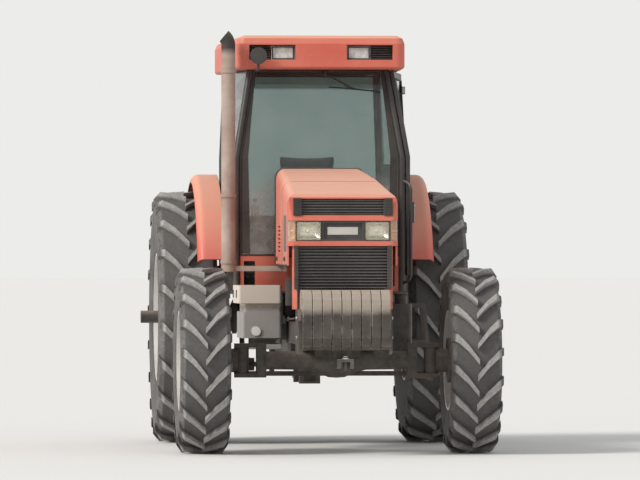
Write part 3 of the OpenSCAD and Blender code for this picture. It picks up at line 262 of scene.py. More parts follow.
rubberLook = {
    "rubber": (0.060, 0.058, 0.056), "greyed": (0.125, 0.120, 0.115), "soil": (0.29, 0.275, 0.26),
    "groove": (0.100, 0.096, 0.093), "treadDust": (0.42, 0.40, 0.385), "lugTop": (0.042, 0.022),
    "rootFrom": (0.075, 0.060), "rootTo": (0.030, 0.042), "soilDeep": (0.42, 0.10), "ringDeep": (0.16, 0.22),
    "ringPitch": 420.0,
}
paintLook = {"rough": 0.52, "coat": 0.06, "bump": 0.05, "worn": (0.25, 0.22, 0.20), "edgeWearAndGlintShare": 0.35}
rimLook = {
    "base": (0.72, 0.71, 0.69), "faded": (0.61, 0.59, 0.57), "rough": 0.38, "dustTopZ": 1.6, "dustFullZ": 0.2,
    "dustSide": 0.25, "dustUp": 0.5, "worn": (0.30, 0.16, 0.09), "edgeWearAndGlintShare": 0.8,
}
dustyLooks = {
    # The red paints' lighter up-facing tone is partly sun-bleached paint, partly a painted sunlit highlight
    "redPaint": {
        **paintLook, "base": (0.60, 0.110, 0.070), "faded": (0.68, 0.175, 0.115), "bleachAndLitTop": (0.86, 0.41, 0.275),
        "bleachAndLitShare": 0.85, "dustTopZ": 1.6, "dustFullZ": 0.7, "dustSide": 0.35, "dustUp": 0.22,
    },
    "hoodRed": {
        **paintLook, "base": (0.66, 0.165, 0.110), "faded": (0.75, 0.255, 0.180), "bleachAndLitTop": (0.88, 0.47, 0.34),
        "bleachAndLitShare": 0.88, "dustTopZ": 1.6, "dustFullZ": 0.7, "dustSide": 0.30, "dustUp": 0.22,
    },
    # The fenders turn lighter towards the top, between z 1.48 and 1.98: a painted highlight where the curved fender
    # catches the sky
    "fenderRed": {
        **paintLook, "base": (0.68, 0.095, 0.075), "faded": (0.72, 0.13, 0.10), "bleachAndLitTop": (0.86, 0.38, 0.26),
        "bleachAndLitShare": 0.85, "dustTopZ": 1.3, "dustFullZ": 0.5, "dustSide": 0.25, "dustUp": 0.25,
        "zones": [(2, 1.48, 1.98, (0.80, 0.27, 0.165))], "zoneBlur": 0.12,
    },
    "blackPaint": {
        "base": (0.020, 0.020, 0.021), "faded": (0.042, 0.041, 0.041), "rough": 0.42, "dustTopZ": 1.7,
        "dustFullZ": 0.5, "dustSide": 0.4, "dustUp": 0.55, "worn": (0.16, 0.12, 0.09), "edgeWearAndGlintShare": 0.5,
    },
    "castIron": {
        "base": (0.016, 0.015, 0.015), "faded": (0.034, 0.031, 0.028), "rough": 0.62, "dustTopZ": 1.5,
        "dustFullZ": 0.35, "dustSide": 0.28, "dustUp": 0.5, "bump": 0.5, "grain": 150.0, "worn": (0.12, 0.085, 0.06),
        "edgeWearAndGlintShare": 0.6,
    },
    # Weights: the light lines on their edges are partly worn iron, partly painted glints
    "weightIron": {
        "base": (0.026, 0.023, 0.021), "faded": (0.05, 0.042, 0.036), "rough": 0.75, "dustTopZ": 1.3,
        "dustFullZ": 0.6, "dustSide": 0.16, "dustUp": 0.95, "bump": 0.6, "grain": 120.0,
        "zones": [(2, 1.02, 1.075, (0.34, 0.285, 0.235))], "worn": (0.58, 0.53, 0.47), "edgeWearAndGlintShare": 0.95, "edge": 0.009,
    },
    "rimSilver": rimLook,
    "rearRimSilver": {**rimLook, "core": ((rearAxleY, rearRadius), 0.049, (0.02, 0.019, 0.018))},
    "stackSteel": {
        "base": (0.33, 0.235, 0.19), "faded": (0.47, 0.385, 0.325), "rough": 0.6, "dustSide": 0.1, "bump": 0.3,
        "worn": (0.2, 0.1, 0.06), "patch": 4.0, "zones": [(2, 2.96, 3.02, (0.022, 0.018, 0.016))],
    },
    "dustyBox": {
        "base": (0.29, 0.275, 0.275), "faded": (0.38, 0.36, 0.35), "rough": 0.6, "dustUp": 1.2, "dustSide": 0.22,
        "dustTopZ": 1.4, "dustFullZ": 0.6, "worn": (0.12, 0.09, 0.07),
        "zones": [(2, 1.055, 1.08, (0.74, 0.66, 0.57))],
    },
    "seatCloth": {
        "base": (0.04, 0.04, 0.045), "faded": (0.09, 0.085, 0.08), "rough": 0.9, "bump": 0.8, "grain": 700.0,
        "dustSide": 0.0,
    },
    "consolePlastic": {
        "base": (0.03, 0.03, 0.032), "faded": (0.06, 0.058, 0.055), "rough": 0.55, "bump": 0.5, "grain": 900.0,
        "dustSide": 0.0,
    },
    "bareSteel": {
        "base": (0.45, 0.44, 0.42), "faded": (0.35, 0.32, 0.29), "rough": 0.35, "metal": 0.9, "bump": 0.2,
    },
    "brightSteel": {
        "base": (0.66, 0.64, 0.60), "faded": (0.52, 0.49, 0.44), "rough": 0.25, "metal": 0.8, "dustSide": 0.1,
        "dustUp": 0.2, "bump": 0.15,
    },
    "reflector": {
        "base": (0.86, 0.85, 0.80), "faded": (0.78, 0.76, 0.70), "rough": 0.16, "metal": 1.0, "dustSide": 0.0,
        "dustUp": 0.0, "dustEven": 0.05, "bump": 0.04, "grain": 30.0,
    },
    "blackRubber": {
        "base": (0.016, 0.016, 0.016), "faded": (0.04, 0.038, 0.036), "rough": 0.7, "dustTopZ": 1.7, "dustFullZ": 0.5,
        "dustSide": 0.35, "dustUp": 0.5, "bump": 0.3, "grain": 300.0,
    },
    "bulbWhite": {
        "base": (0.88, 0.87, 0.84), "faded": (0.80, 0.78, 0.73), "rough": 0.2, "dustSide": 0.0, "dustUp": 0.0,
        "dustEven": 0.0, "bump": 0.02,
    },
    "palePlastic": {
        "base": (0.62, 0.60, 0.56), "faded": (0.50, 0.47, 0.42), "rough": 0.5, "dustSide": 0.2, "dustUp": 0.2,
        "dustEven": 0.1, "bump": 0.05,
    },
    "redLens": {
        "base": (0.45, 0.012, 0.010), "faded": (0.55, 0.03, 0.02), "rough": 0.15, "coat": 0.6, "dustSide": 0.15,
        "dustUp": 0.2, "bump": 0.1, "grain": 60.0,
    },
    "grilleBlack": {
        "base": (0.095, 0.091, 0.089), "faded": (0.140, 0.135, 0.132), "rough": 0.5, "dustTopZ": 1.6,
        "dustFullZ": 0.9, "dustSide": 0.12, "dustUp": 0.5, "dustEven": 0.03, "worn": (0.30, 0.27, 0.23), "edgeWearAndGlintShare": 0.35,
    },
    "amberLens": {
        "base": (0.92, 0.26, 0.015), "faded": (0.95, 0.36, 0.04), "rough": 0.15, "coat": 0.6, "dustSide": 0.05,
        "dustUp": 0.1, "bump": 0.1, "grain": 60.0,
    },
}
glassLooks = {
    "headGlass": {
        "tint": (0.97, 0.96, 0.92), "tint2": (0.92, 0.91, 0.86), "film": (0.84, 0.76, 0.60), "filmLow": 0.28,
        "filmHigh": 0.42, "flutes": 0.009,
    },
    "roofGlass": {
        "tint": (0.98, 0.98, 0.97), "tint2": (0.95, 0.95, 0.93), "film": (0.97, 0.95, 0.94), "filmLow": 0.66,
        "filmHigh": 0.85, "flutes": 0.009,
    },
    "lampGlass": {
        "tint": (0.95, 0.95, 0.93), "tint2": (0.85, 0.86, 0.84), "film": (0.75, 0.70, 0.62), "filmLow": 0.05,
        "filmHigh": 0.2, "flutes": 0.009,
    },
    "shieldGlass": {
        "tint": (0.40, 0.475, 0.47), "tint2": (0.45, 0.53, 0.52), "film": (0.48, 0.48, 0.46), "filmLow": 0.04,
        "filmHigh": 0.14, "shade": (0.10, 0.14, 0.13), "shadeFrom": 2.72, "soiledBelow": 2.04, "soil": 0.35,
    },
    "windowGlass": {
        "tint": (0.45, 0.53, 0.52), "tint2": (0.51, 0.59, 0.57), "film": (0.50, 0.50, 0.47), "filmLow": 0.04,
        "filmHigh": 0.14,
    },
}
finishes = {name: dustyFinish(name, look) for name, look in dustyLooks.items()}
finishes.update({name: glassFinish(name, look) for name, look in glassLooks.items()})
for end, axleY, radius in (("rear", rearAxleY, rearRadius), ("front", frontAxleY, frontRadius)):
    finishes[end + "Rubber"] = tyreFinish(end + "Rubber", {**rubberLook, "centre": (axleY, radius), "radius": radius})

# Slots of the record, with the finish of each
slotFinish = {
    "red_paint": "redPaint", "black_paint": "blackPaint", "cast_grey": "castIron", "weight_iron": "weightIron",
    "rim_paint": "rimSilver", "lamp": "lampGlass", "window": "windowGlass", "stack_steel": "stackSteel",
    "dusty_box": "dustyBox", "seat_cloth": "seatCloth", "console_plastic": "consolePlastic", "steel": "bareSteel",
}

# Nodes with another finish than their slot's
nodeFinish = {"windshield": "shieldGlass", "hood": "hoodRed", "fender_left": "fenderRed", "fender_right": "fenderRed",
              "headlamps": "headGlass", "roof_lamps": "roofGlass", "upper_grille": "grilleBlack",
              "lower_grille": "grilleBlack", "side_screens": "grilleBlack", "rear_rim_left": "rearRimSilver",
              "rear_rim_right": "rearRimSilver"}


def dress(nodeName, finish):
    target = frame["nodes"][nodeName]
    target.data.materials.clear()
    target.data.materials.append(finishes[finish])


for part in frame["record"]["subparts"]:
    if part["material_slot"] == "tyre_rubber":
        dress(part["node"], "rearRubber" if part["node"].startswith("rear") else "frontRubber")
    else:
        dress(part["node"], nodeFinish.get(part["node"], slotFinish[part["material_slot"]]))
print("finishes on the frame's nodes")


# Floor, light and camera

stageLook = {"floorSize": 600.0, "floor": (0.80, 0.79, 0.77), "sky": (0.86, 0.88, 0.90),
             "backdrop": (0.84, 0.84, 0.82), "fill": 0.66, "sun": 2.5, "sunSize": 0.35, "sunTone": (1.0, 0.965, 0.91),
             "sunWay": (0.95, 0.55, -0.80)}


def makeStage():
    bpy.ops.mesh.primitive_plane_add(size=stageLook["floorSize"])
    floor = bpy.context.object
    floor.name = "floor"
    material, tree, shader, output = emptyMaterial("paleFloor")
    tone = noise(tree, objectCoords(tree), 0.8, 3.0)
    colour = mixColour(tree, tone, solid(stageLook["floor"]), solid([c * 0.97 for c in stageLook["floor"]]))
    feed(tree, shader, {"Base Color": colour, "Roughness": 0.9})
    floor.data.materials.append(material)
    world = bpy.data.worlds.new("studio")
    bpy.context.scene.world = world
    world.use_nodes = True
    tree = world.node_tree
    background = tree.nodes["Background"]
    background.inputs[0].default_value = solid(stageLook["sky"])
    background.inputs[1].default_value = stageLook["fill"]
    seen = shaderNode(tree, "ShaderNodeBackground", {"Color": solid(stageLook["backdrop"]), "Strength": 1.0})
    path = shaderNode(tree, "ShaderNodeLightPath").outputs
    rays = calc(tree, "MAXIMUM", calc(tree, "MAXIMUM", path["Is Camera Ray"], path["Is Glossy Ray"]),
                path["Is Transmission Ray"])
    both = shaderNode(tree, "ShaderNodeMixShader", {0: rays, 1: background.outputs[0], 2: seen.outputs[0]})
    tree.links.new(both.outputs[0], tree.nodes["World Output"].inputs[0])
    sun = bpy.data.lights.new("sun", "SUN")
    sun.energy = stageLook["sun"]
    sun.angle = stageLook["sunSize"]
    sun.color = stageLook["sunTone"]
    placed("sun", sun).rotation_euler = Vector(stageLook["sunWay"]).to_track_quat("-Z", "Y").to_euler()


cameraLook = {"distance": 50.6, "azimuth": -4.4, "height": 1.5, "aim": (0.0, 0.0, 1.57), "lens": 387.0}


def makeCamera():
    turn = math.radians(cameraLook["azimuth"])
    place = Vector((math.sin(turn) * cameraLook["distance"], frontAxleY - math.cos(turn) * cameraLook["distance"],
                    cameraLook["height"]))
    data = bpy.data.cameras.new("camera")
    data.lens = cameraLook["lens"]
    data.clip_end = 500.0
    camera = placed("camera", data)
    camera.location = place
    camera.rotation_euler = (Vector(cameraLook["aim"]) - place).to_track_quat("-Z", "Y").to_euler()
    bpy.context.scene.camera = camera


makeStage()
makeCamera()
bpy.context.scene.view_settings.view_transform = "Standard"
print("stage and camera")


# Builders of pieces: everything is in metres, with places counted ahead of the rear axle

def ahead(distance):
    return rearAxleY - distance


def meshFrom(name, bm):
    bmesh.ops.recalc_face_normals(bm, faces=bm.faces[:])
    mesh = bpy.data.meshes.new(name)
    bm.to_mesh(mesh)
    bm.free()
    return mesh


def carried(piece, body):
    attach(piece, body)
    return piece


def finishPiece(name, bm, finish, body="chassis", smooth=False):
    mesh = meshFrom(name, bm)
    for face in mesh.polygons:
        face.use_smooth = smooth
    mesh.materials.append(finishes[finish])
    return carried(placed(name, mesh), body)


# Joins two rings of corners with a band of faces
def band(bm, first, second):
    count = len(first)
    for k in range(count):
        bm.faces.new((first[k], first[(k + 1) % count], second[(k + 1) % count], second[k]))


# Turns a profile along x to the side that the sign names
def facing(profile, sign):
    return profile if sign > 0 else [(-along, reach) for along, reach in reversed(profile)]


def bothWays(pair, sign):
    return (min(sign * pair[0], sign * pair[1]), max(sign * pair[0], sign * pair[1]))


def addBlock(bm, low, high, soften=0.0):
    made = bmesh.ops.create_cube(bm, size=1.0)["verts"]
    centre = [(a + b) / 2 for a, b in zip(low, high)]
    size = [b - a for a, b in zip(low, high)]
    for vert in made:
        vert.co = Vector([centre[i] + vert.co[i] * size[i] for i in range(3)])
    if soften:
        edges = list(dict.fromkeys(edge for vert in made for edge in vert.link_edges))
        bmesh.ops.bevel(bm, geom=edges, offset=soften, segments=2, affect="EDGES", clamp_overlap=True)


def addTube(bm, points, radius, sides=12, closed=False):
    points = [Vector(p) for p in points]
    rings = []
    count = len(points)
    side = None
    for i, point in enumerate(points):
        before = points[i - 1] if i or closed else points[0]
        after = points[(i + 1) % count] if i < count - 1 or closed else points[-1]
        along = (after - before).normalized()
        if side is None:
            side = along.orthogonal().normalized()
        side = (side - along * side.dot(along)).normalized()
        other = along.cross(side)
        ring = [bm.verts.new(point + radius * (math.cos(t) * side + math.sin(t) * other)) for t in
                [2 * math.pi * k / sides for k in range(sides)]]
        rings.append(ring)
    last = count if closed else count - 1
    for i in range(last):
        band(bm, rings[i], rings[(i + 1) % count])
    if not closed:
        bm.faces.new(rings[0])
        bm.faces.new(rings[-1])


def addTurned(bm, profile, centre, axis="x", steps=40):
    rings = []
    for along, reach in profile:
        ring = []
        for k in range(steps):
            t = 2 * math.pi * k / steps
            a, b = reach * math.cos(t), reach * math.sin(t)
            offset = {"x": (along, a, b), "y": (a, along, b), "z": (a, b, along)}[axis]
            ring.append(bm.verts.new(Vector(centre) + Vector(offset)))
        rings.append(ring)
    for first, second in zip(rings, rings[1:]):
        band(bm, first, second)
    bm.faces.new(rings[0])
    bm.faces.new(rings[-1])


def addPlate(bm, outline, low, high, across="x"):
    rings = []
    for level in (low, high):
        ring = []
        for a, b in outline:
            ring.append(bm.verts.new({"x": (level, a, b), "y": (a, level, b), "z": (a, b, level)}[across]))
        rings.append(ring)
    band(bm, rings[0], rings[1])
    bm.faces.new(rings[0])
    bm.faces.new(rings[1])


def bent(points, corner=0.05, steps=6):
    points = [Vector(p) for p in points]
    path = [points[0]]
    for i in range(1, len(points) - 1):
        into = (points[i] - points[i - 1])
        out = (points[i + 1] - points[i])
        cut = min(corner, into.length * 0.45, out.length * 0.45)
        start = points[i] - into.normalized() * cut
        end = points[i] + out.normalized() * cut
        for k in range(steps + 1):
            t = k / steps
            path.append(start.lerp(points[i], t).lerp(points[i].lerp(end, t), t))
    path.append(points[-1])
    return path


# A pipe through (across, ahead, up) places, and a block between such spans
def addPipe(bm, places, corner, radius, sides=12):
    addTube(bm, bent([(x, ahead(d), z) for x, d, z in places], corner), radius, sides)


def addSpan(bm, across, along, up, soften=0.0):
    addBlock(bm, (across[0], ahead(along[1]), up[0]), (across[1], ahead(along[0]), up[1]), soften)


# Copies one small shape over a ring or a row, with a Geometry Nodes group
def repeated(name, unit, look, finish, body="chassis"):
    group = bpy.data.node_groups.new(name + "Nodes", "GeometryNodeTree")
    nodes, links = group.nodes, group.links
    group.interface.new_socket(name="Geometry", in_out="INPUT", socket_type="NodeSocketGeometry")
    sockets = (
        ("Count", "Int", look["count"]), ("Spread", "Float", look["spread"]), ("Place", "Vector", look["place"]),
        ("Turn", "Vector", look["turn"]), ("Rows", "Int", look.get("rows", 1)),
        ("Row spread", "Float", look.get("rowSpread", 0.0)), ("Start", "Float", look.get("start", 0.0)),
    )
    keys = {}
    for label, kind, value in sockets:
        made = group.interface.new_socket(name=label, in_out="INPUT", socket_type="NodeSocket" + kind)
        keys[label] = made.identifier
    group.interface.new_socket(name="Geometry", in_out="OUTPUT", socket_type="NodeSocketGeometry")
    entry, leave = nodes.new("NodeGroupInput"), nodes.new("NodeGroupOutput")
    source = nodes.new("GeometryNodeObjectInfo")
    source.inputs["Object"].default_value = unit
    points = nodes.new("GeometryNodeMeshCircle" if look["kind"] == "ring" else "GeometryNodeMeshGrid")
    fields = {"ring": (("Count", "Vertices"), ("Spread", "Radius")),
              "grid": (("Count", "Vertices X"), ("Rows", "Vertices Y"), ("Spread", "Size X"),
                       ("Row spread", "Size Y"))}
    for label, field in fields[look["kind"]]:
        links.new(entry.outputs[label], points.inputs[field])
    twist, first = nodes.new("ShaderNodeCombineXYZ"), nodes.new("GeometryNodeTransform")
    copies, move = nodes.new("GeometryNodeInstanceOnPoints"), nodes.new("GeometryNodeTransform")
    real, paint = nodes.new("GeometryNodeRealizeInstances"), nodes.new("GeometryNodeSetMaterial")
    paint.inputs["Material"].default_value = finishes[finish]
    for start, label, end, field in (
            (entry, "Start", twist, "Z"), (twist, "Vector", first, "Rotation"), (points, "Mesh", first, "Geometry"),
            (first, "Geometry", copies, "Points"), (source, "Geometry", copies, "Instance"),
            (copies, "Instances", move, "Geometry"), (entry, "Place", move, "Translation"),
            (entry, "Turn", move, "Rotation"), (move, "Geometry", real, "Geometry"),
            (real, "Geometry", paint, "Geometry"), (paint, "Geometry", leave, "Geometry")):
        links.new(start.outputs[label], end.inputs[field])
    carrier = placed(name + "Carrier", bpy.data.meshes.new(name + "Carrier"))
    modifier = carrier.modifiers.new("copies", "NODES")
    modifier.node_group = group
    for label, kind, value in sockets:
        modifier[keys[label]] = value
    mesh = bpy.data.meshes.new_from_object(carrier.evaluated_get(bpy.context.evaluated_depsgraph_get()))
    bpy.data.objects.remove(carrier)
    return carried(placed(name, mesh), body)


def unitShape(name, build):
    bm = bmesh.new()
    build(bm)
    return placed(name, meshFrom(name, bm))


def dropUnit(unit):
    bpy.data.objects.remove(unit)


# Wheel nuts and rim bolts
nutLook = {"flat": 0.017, "high": 0.020, "washer": 0.024, "stud": 0.009}


def buildNut(bm):
    addTurned(bm, [(0.0, nutLook["washer"]), (0.004, nutLook["washer"])], (0, 0, 0), "z", 20)
    addTurned(bm, [(0.003, nutLook["flat"]), (nutLook["high"] - 0.003, nutLook["flat"]),
                   (nutLook["high"], nutLook["flat"] - 0.003)], (0, 0, 0), "z", 6)
    addTurned(bm, [(0.003, nutLook["stud"]), (nutLook["high"] + 0.009, nutLook["stud"]),
                   (nutLook["high"] + 0.012, nutLook["stud"] - 0.003)], (0, 0, 0), "z", 12)


nutRings = {
    "rear": [(10, 0.135, 0.921, 0.0), (8, 0.420, 0.985, math.pi / 8)],
    "front": [(10, 0.128, 0.985, 0.0), (8, 0.293, 1.020, math.pi / 8)],
}
nut = unitShape("nutUnit", buildNut)
for side, sign in (("left", 1), ("right", -1)):
    for end, (centreY, centreZ) in (("rear", (rearAxleY, rearRadius)), ("front", (frontAxleY, frontRadius))):
        for i, (count, spread, reach, start) in enumerate(nutRings[end]):
            repeated(f"{end}Nuts{i}_{side}", nut, {
                "kind": "ring", "count": count, "spread": spread, "start": start,
                "place": (sign * reach, centreY, centreZ), "turn": (0.0, sign * math.pi / 2, 0.0),
            }, "bareSteel", f"{end}_wheel_{side}")
dropUnit(nut)
print("wheel nuts")

# Seat: puffed cushion and backrest on a tray and stand; the cushion takes the plain solid's place
seatLook = {
    "front": 0.56, "back": 0.06, "half": 0.25, "low": 1.450, "high": 1.560, "top": 2.250, "voxel": 0.006,
    "pressure": 4.0, "steps": 20, "capMove": 0.022, "standD": 0.30, "standZ": 1.1813, "armX": (0.25, 0.265),
    "restX": (0.255, 0.318), "railHalf": 0.014, "backHalf": 0.235,
}


def puffed(name, points, low, high, inset):
    bm = bmesh.new()
    addPlate(bm, points, low + inset, high - inset)
    piece = placed(name, meshFrom(name, bm))
    bpy.context.view_layer.objects.active = piece
    remesh = piece.modifiers.new("voxels", "REMESH")
    remesh.mode = "VOXEL"
    remesh.voxel_size = seatLook["voxel"] * 1.0
    bpy.ops.object.select_all(action="DESELECT")
    piece.select_set(True)
    bpy.ops.object.modifier_apply(modifier=remesh.name)
    start = [v.co.copy() for v in piece.data.vertices]
    cloth = piece.modifiers.new("cloth", "CLOTH")
    cloth.settings.use_pressure = True
    cloth.settings.uniform_pressure_force = seatLook["pressure"]
    cloth.settings.effector_weights.gravity = 0.0
    cloth.settings.quality = 5
    cloth.point_cache.frame_start = 1
    cloth.point_cache.frame_end = seatLook["steps"]
    scene = bpy.context.scene
    for step in range(1, seatLook["steps"] + 1):
        scene.frame_set(step)
    bpy.ops.object.modifier_apply(modifier=cloth.name)
    scene.frame_set(1)
    for vert, was in zip(piece.data.vertices, start):
        moved = vert.co - was
        if moved.length > seatLook["capMove"]:
            vert.co = was + moved.normalized() * seatLook["capMove"]
    soften = piece.modifiers.new("soften", "SMOOTH")
    soften.factor = 0.5
    soften.iterations = 4
    bpy.ops.object.modifier_apply(modifier=soften.name)
    for face in piece.data.polygons:
        face.use_smooth = True
    piece.data.materials.append(finishes["seatCloth"])
    carried(piece, "chassis")
    return piece


seatBack, seatFront = ahead(seatLook["back"]), ahead(seatLook["front"])
cushion = puffed("seatCushion", [
    (seatBack - 0.02, seatLook["low"] + 0.02), (seatFront + 0.02, seatLook["low"] + 0.02),
    (seatFront, seatLook["low"] + 0.05), (seatFront + 0.03, seatLook["high"] - 0.02),
    (seatBack - 0.02, seatLook["high"] - 0.03),
], -seatLook["half"], seatLook["half"], 0.02)
puffed("seatBackrest", [
    (ahead(0.02), seatLook["high"] - 0.01), (ahead(0.13), seatLook["high"]), (ahead(0.10), 1.86),
    (ahead(0.03), 2.20), (ahead(0.01), seatLook["top"] - 0.02), (ahead(-0.04), seatLook["top"] - 0.02),
    (ahead(-0.02), 1.85),
], -seatLook["backHalf"], seatLook["backHalf"], 0.02)
bm = bmesh.new()
addTurned(bm, [(0.0, 0.13), (0.02, 0.13), (0.03, 0.10), (0.22, 0.085), (0.24, 0.12), (0.262, 0.12)],
          (0, ahead(seatLook["standD"]), seatLook["standZ"]), "z", 32)
addBlock(bm, (-0.23, seatFront + 0.02, 1.440), (0.23, seatBack - 0.02, 1.466), 0.008)
addPipe(bm, [(-0.2, 0.10, 1.45), (-0.2, -0.045, 1.52), (-0.2, -0.075, 2.12), (0.2, -0.075, 2.12), (0.2, -0.045, 1.52),
             (0.2, 0.10, 1.45)], 0.08, seatLook["railHalf"])
for sign in (-1, 1):
    addSpan(bm, bothWays(seatLook["armX"], sign), (0.11, 0.19), (1.50, 1.67), 0.004)
    addSpan(bm, bothWays(seatLook["restX"], sign), (0.10, 0.475), (1.662, 1.708), 0.018)
finishPiece("seatFrame", bm, "consolePlastic")
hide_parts("seat")
print("seat")

# Lamps: reflector bowls and bulbs behind the fluted glass
lampLook = {
    "head": {"x": 0.250, "z": 1.6335, "half": (0.088, 0.064), "back": 3.580, "deep": 0.036},
    "side": {"x": 0.3665, "z": 1.6335, "half": (0.018, 0.060), "back": 3.5775, "deep": 0.022},
    "roof": {"x": 0.2875, "z": 2.987, "half": (0.068, 0.038), "back": 1.386, "deep": 0.062}, "bulb": 0.014,
    "rings": 8,
}
cornerCut = ((-1, -0.8), (-0.8, -1), (0.8, -1), (1, -0.8), (1, 0.8), (0.8, 1), (-0.8, 1), (-1, 0.8))


def lampBowls(name, finish):
    x, z, half, back, deep = (lampLook[name][key] for key in ("x", "z", "half", "back", "deep"))
    bm, bulbs, steps = bmesh.new(), bmesh.new(), lampLook["rings"]
    for sign in (-1, 1):
        rings = []
        for k in range(steps + 1):
            grow = 0.25 + 0.75 * math.sqrt(k / steps)
            rings.append([bm.verts.new((sign * x + half[0] * grow * a, ahead(back) - deep * k / steps,
                                        z + half[1] * grow * b)) for a, b in cornerCut])
        for first, second in zip(rings, rings[1:]):
            band(bm, first, second)
        bm.faces.new(rings[0])
        radius = min(lampLook["bulb"], half[0] * 0.5)
        middle = ahead(back) - deep * 0.45
        addTurned(bulbs, [(-radius * math.cos(t), radius * math.sin(t)) for t in [0.15 + 0.35 * k for k in range(9)]],
                  (sign * x, middle, z), "y", 20)
    piece = finishPiece(name + "Bowls", bm, finish, smooth=True)
    solidify = piece.modifiers.new("thick", "SOLIDIFY")
    solidify.thickness = 0.0012
    solidify.offset = 0.0
    finishPiece(name + "BowlsBulbs", bulbs, "bulbWhite", smooth=True)


for name, finish in (("head", "reflector"), ("side", "amberLens"), ("roof", "reflector")):
    lampBowls(name, finish)

# Louvres in the outer ends of the roof's lamp recesses
ventLook = {"x": (0.383, 0.543), "z": (2.9365, 3.0455), "back": 1.3815, "front": 1.452, "slats": 6}
bm = bmesh.new()
for sign in (-1, 1):
    x0, x1 = bothWays(ventLook["x"], sign)
    low, high = ventLook["z"]
    front, back = ahead(ventLook["front"]), ahead(ventLook["back"] + 0.003)
    addSpan(bm, (x0, x1), (ventLook["back"], ventLook["back"] + 0.004), ventLook["z"], 0.001)
    for k in range(ventLook["slats"]):
        z = low + (high - low) * (k + 0.5) / ventLook["slats"]
        addPlate(bm, [(front, z - 0.005), (front, z - 0.002), (back, z + 0.008), (back, z + 0.005)], x0, x1)
finishPiece("roofVents", bm, "grilleBlack")

# Rubber bezels round the lamps
bezelLook = {
    "roofX": (0.212, 0.363), "roofD": (1.4585, 1.4715), "roofLip": 0.012, "roofWide": 0.010,
    "headX": (0.1625, 0.3380), "headD": (3.6225, 3.6315), "headZ": (1.5675, 1.6995), "headWide": 0.007,
}


def frameRound(bm, x, along, z, wide):
    for x0, x1, z0, z1 in ((x[0] - wide, x[1] + wide, z[1], z[1] + wide),
                           (x[0] - wide, x[1] + wide, z[0] - wide, z[0]),
                           (x[0] - wide, x[0], z[0], z[1]), (x[1], x[1] + wide, z[0], z[1])):
        addSpan(bm, (x0, x1), along, (z0, z1), 0.001)


bm = bmesh.new()
roofLow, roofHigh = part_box("roof_lamps")
for sign in (-1, 1):
    frameRound(bm, bothWays(bezelLook["roofX"], sign), bezelLook["roofD"],
               (roofLow[2] + bezelLook["roofLip"], roofHigh[2] - bezelLook["roofLip"]), bezelLook["roofWide"])
    frameRound(bm, bothWays(bezelLook["headX"], sign), bezelLook["headD"], bezelLook["headZ"], bezelLook["headWide"])
finishPiece("lampBezels", bm, "blackRubber")

# Blank strip in the middle of the lamp band
stripLook = {"half": 0.112, "z": (1.604, 1.662), "back": 3.6035, "thick": 0.004}
bm = bmesh.new()
addSpan(bm, (-stripLook["half"], stripLook["half"]), (stripLook["back"], stripLook["back"] + stripLook["thick"]),
        stripLook["z"], 0.0015)
finishPiece("bandStrip", bm, "palePlastic")
print("lamps")

# Cab: places on the posts' lines, as the frame has them
cabLines = {"floor": 1.18, "bend": 2.2, "top": 2.867, "front": ((1.315, 0.632), (1.315, 0.632), (1.190, 0.520)),
            "middle": ((0.350, 0.680), (0.350, 0.680), (0.350, 0.650)),
            "rear": ((-0.420, 0.610), (-0.420, 0.610), (-0.390, 0.580))}


def postAt(post, z):
    foot, bend, top = cabLines[post]
    if z <= cabLines["bend"]:
        first, second, share = foot, bend, (z - cabLines["floor"]) / (cabLines["bend"] - cabLines["floor"])
    else:
        first, second, share = bend, top, (z - cabLines["bend"]) / (cabLines["top"] - cabLines["bend"])
    return [a + (b - a) * share for a, b in zip(first, second)]


def sideX(d, z, out=0.0):
    (da, xa), (db, xb) = postAt("front", z), postAt("middle", z)
    return xa + (xb - xa) * (da - d) / (da - db) + out


# Rubber seals round the glass
sealLook = {
    "front": 0.009, "side": 0.008, "doorOut": 0.0423 + 0.012, "inFromPost": 0.031,
    "shieldZ": (1.455, 2.856), "rearZ": (1.756, 2.856), "quarterZ": (2.157, 2.2, 2.856), "quarterIn": 0.032,
    "right": ((0.384, 2.097), (0.886, 2.097), (0.944, 1.79), (1.095, 1.306), (1.279, 1.306), (1.279, 2.2),
              (1.165, 2.856), (0.384, 2.856)),
    "door": ((0.405, 2.195), (0.950, 2.195), (1.010, 1.800), (1.160, 1.355), (1.285, 1.355), (1.285, 2.205),
             (1.172, 2.802), (0.405, 2.802)),
}


def acrossSeal(post, low, high, front):
    points = []
    for sign, heights in ((1, (low, cabLines["bend"], high)), (-1, (high, cabLines["bend"], low))):
        for z in heights:
            if low <= z <= high:
                d, x = postAt(post, z)
                points.append((sign * (x - sealLook["inFromPost"]), ahead(d + front), z))
    return points


bm = bmesh.new()
addTube(bm, acrossSeal("front", *sealLook["shieldZ"], 0.003), sealLook["front"], 10, closed=True)
addTube(bm, acrossSeal("rear", *sealLook["rearZ"], -0.003), sealLook["front"], 10, closed=True)
for sign in (-1, 1):
    quarter = []
    for z in sealLook["quarterZ"]:
        (db, xb), (dr, xr) = postAt("middle", z), postAt("rear", z)
        quarter.append(((db - sealLook["quarterIn"], xb - 0.003, z), (dr + sealLook["quarterIn"], xr + 0.003, z)))
    loop = [q[0] for q in quarter] + [q[1] for q in reversed(quarter)]
    addTube(bm, [(sign * (x + 0.002), ahead(d), z) for d, x, z in loop], sealLook["side"], 8, closed=True)
addTube(bm, [(-sideX(d, z, 0.003), ahead(d), z) for d, z in sealLook["right"]], sealLook["side"], 8, closed=True)
finishPiece("cabSeals", bm, "blackRubber", smooth=True)
bm = bmesh.new()
addTube(bm, [(sideX(d, z, sealLook["doorOut"]), ahead(d), z) for d, z in sealLook["door"]], sealLook["side"], 8,
        closed=True)
finishPiece("doorSeal", bm, "blackRubber", "door", smooth=True)

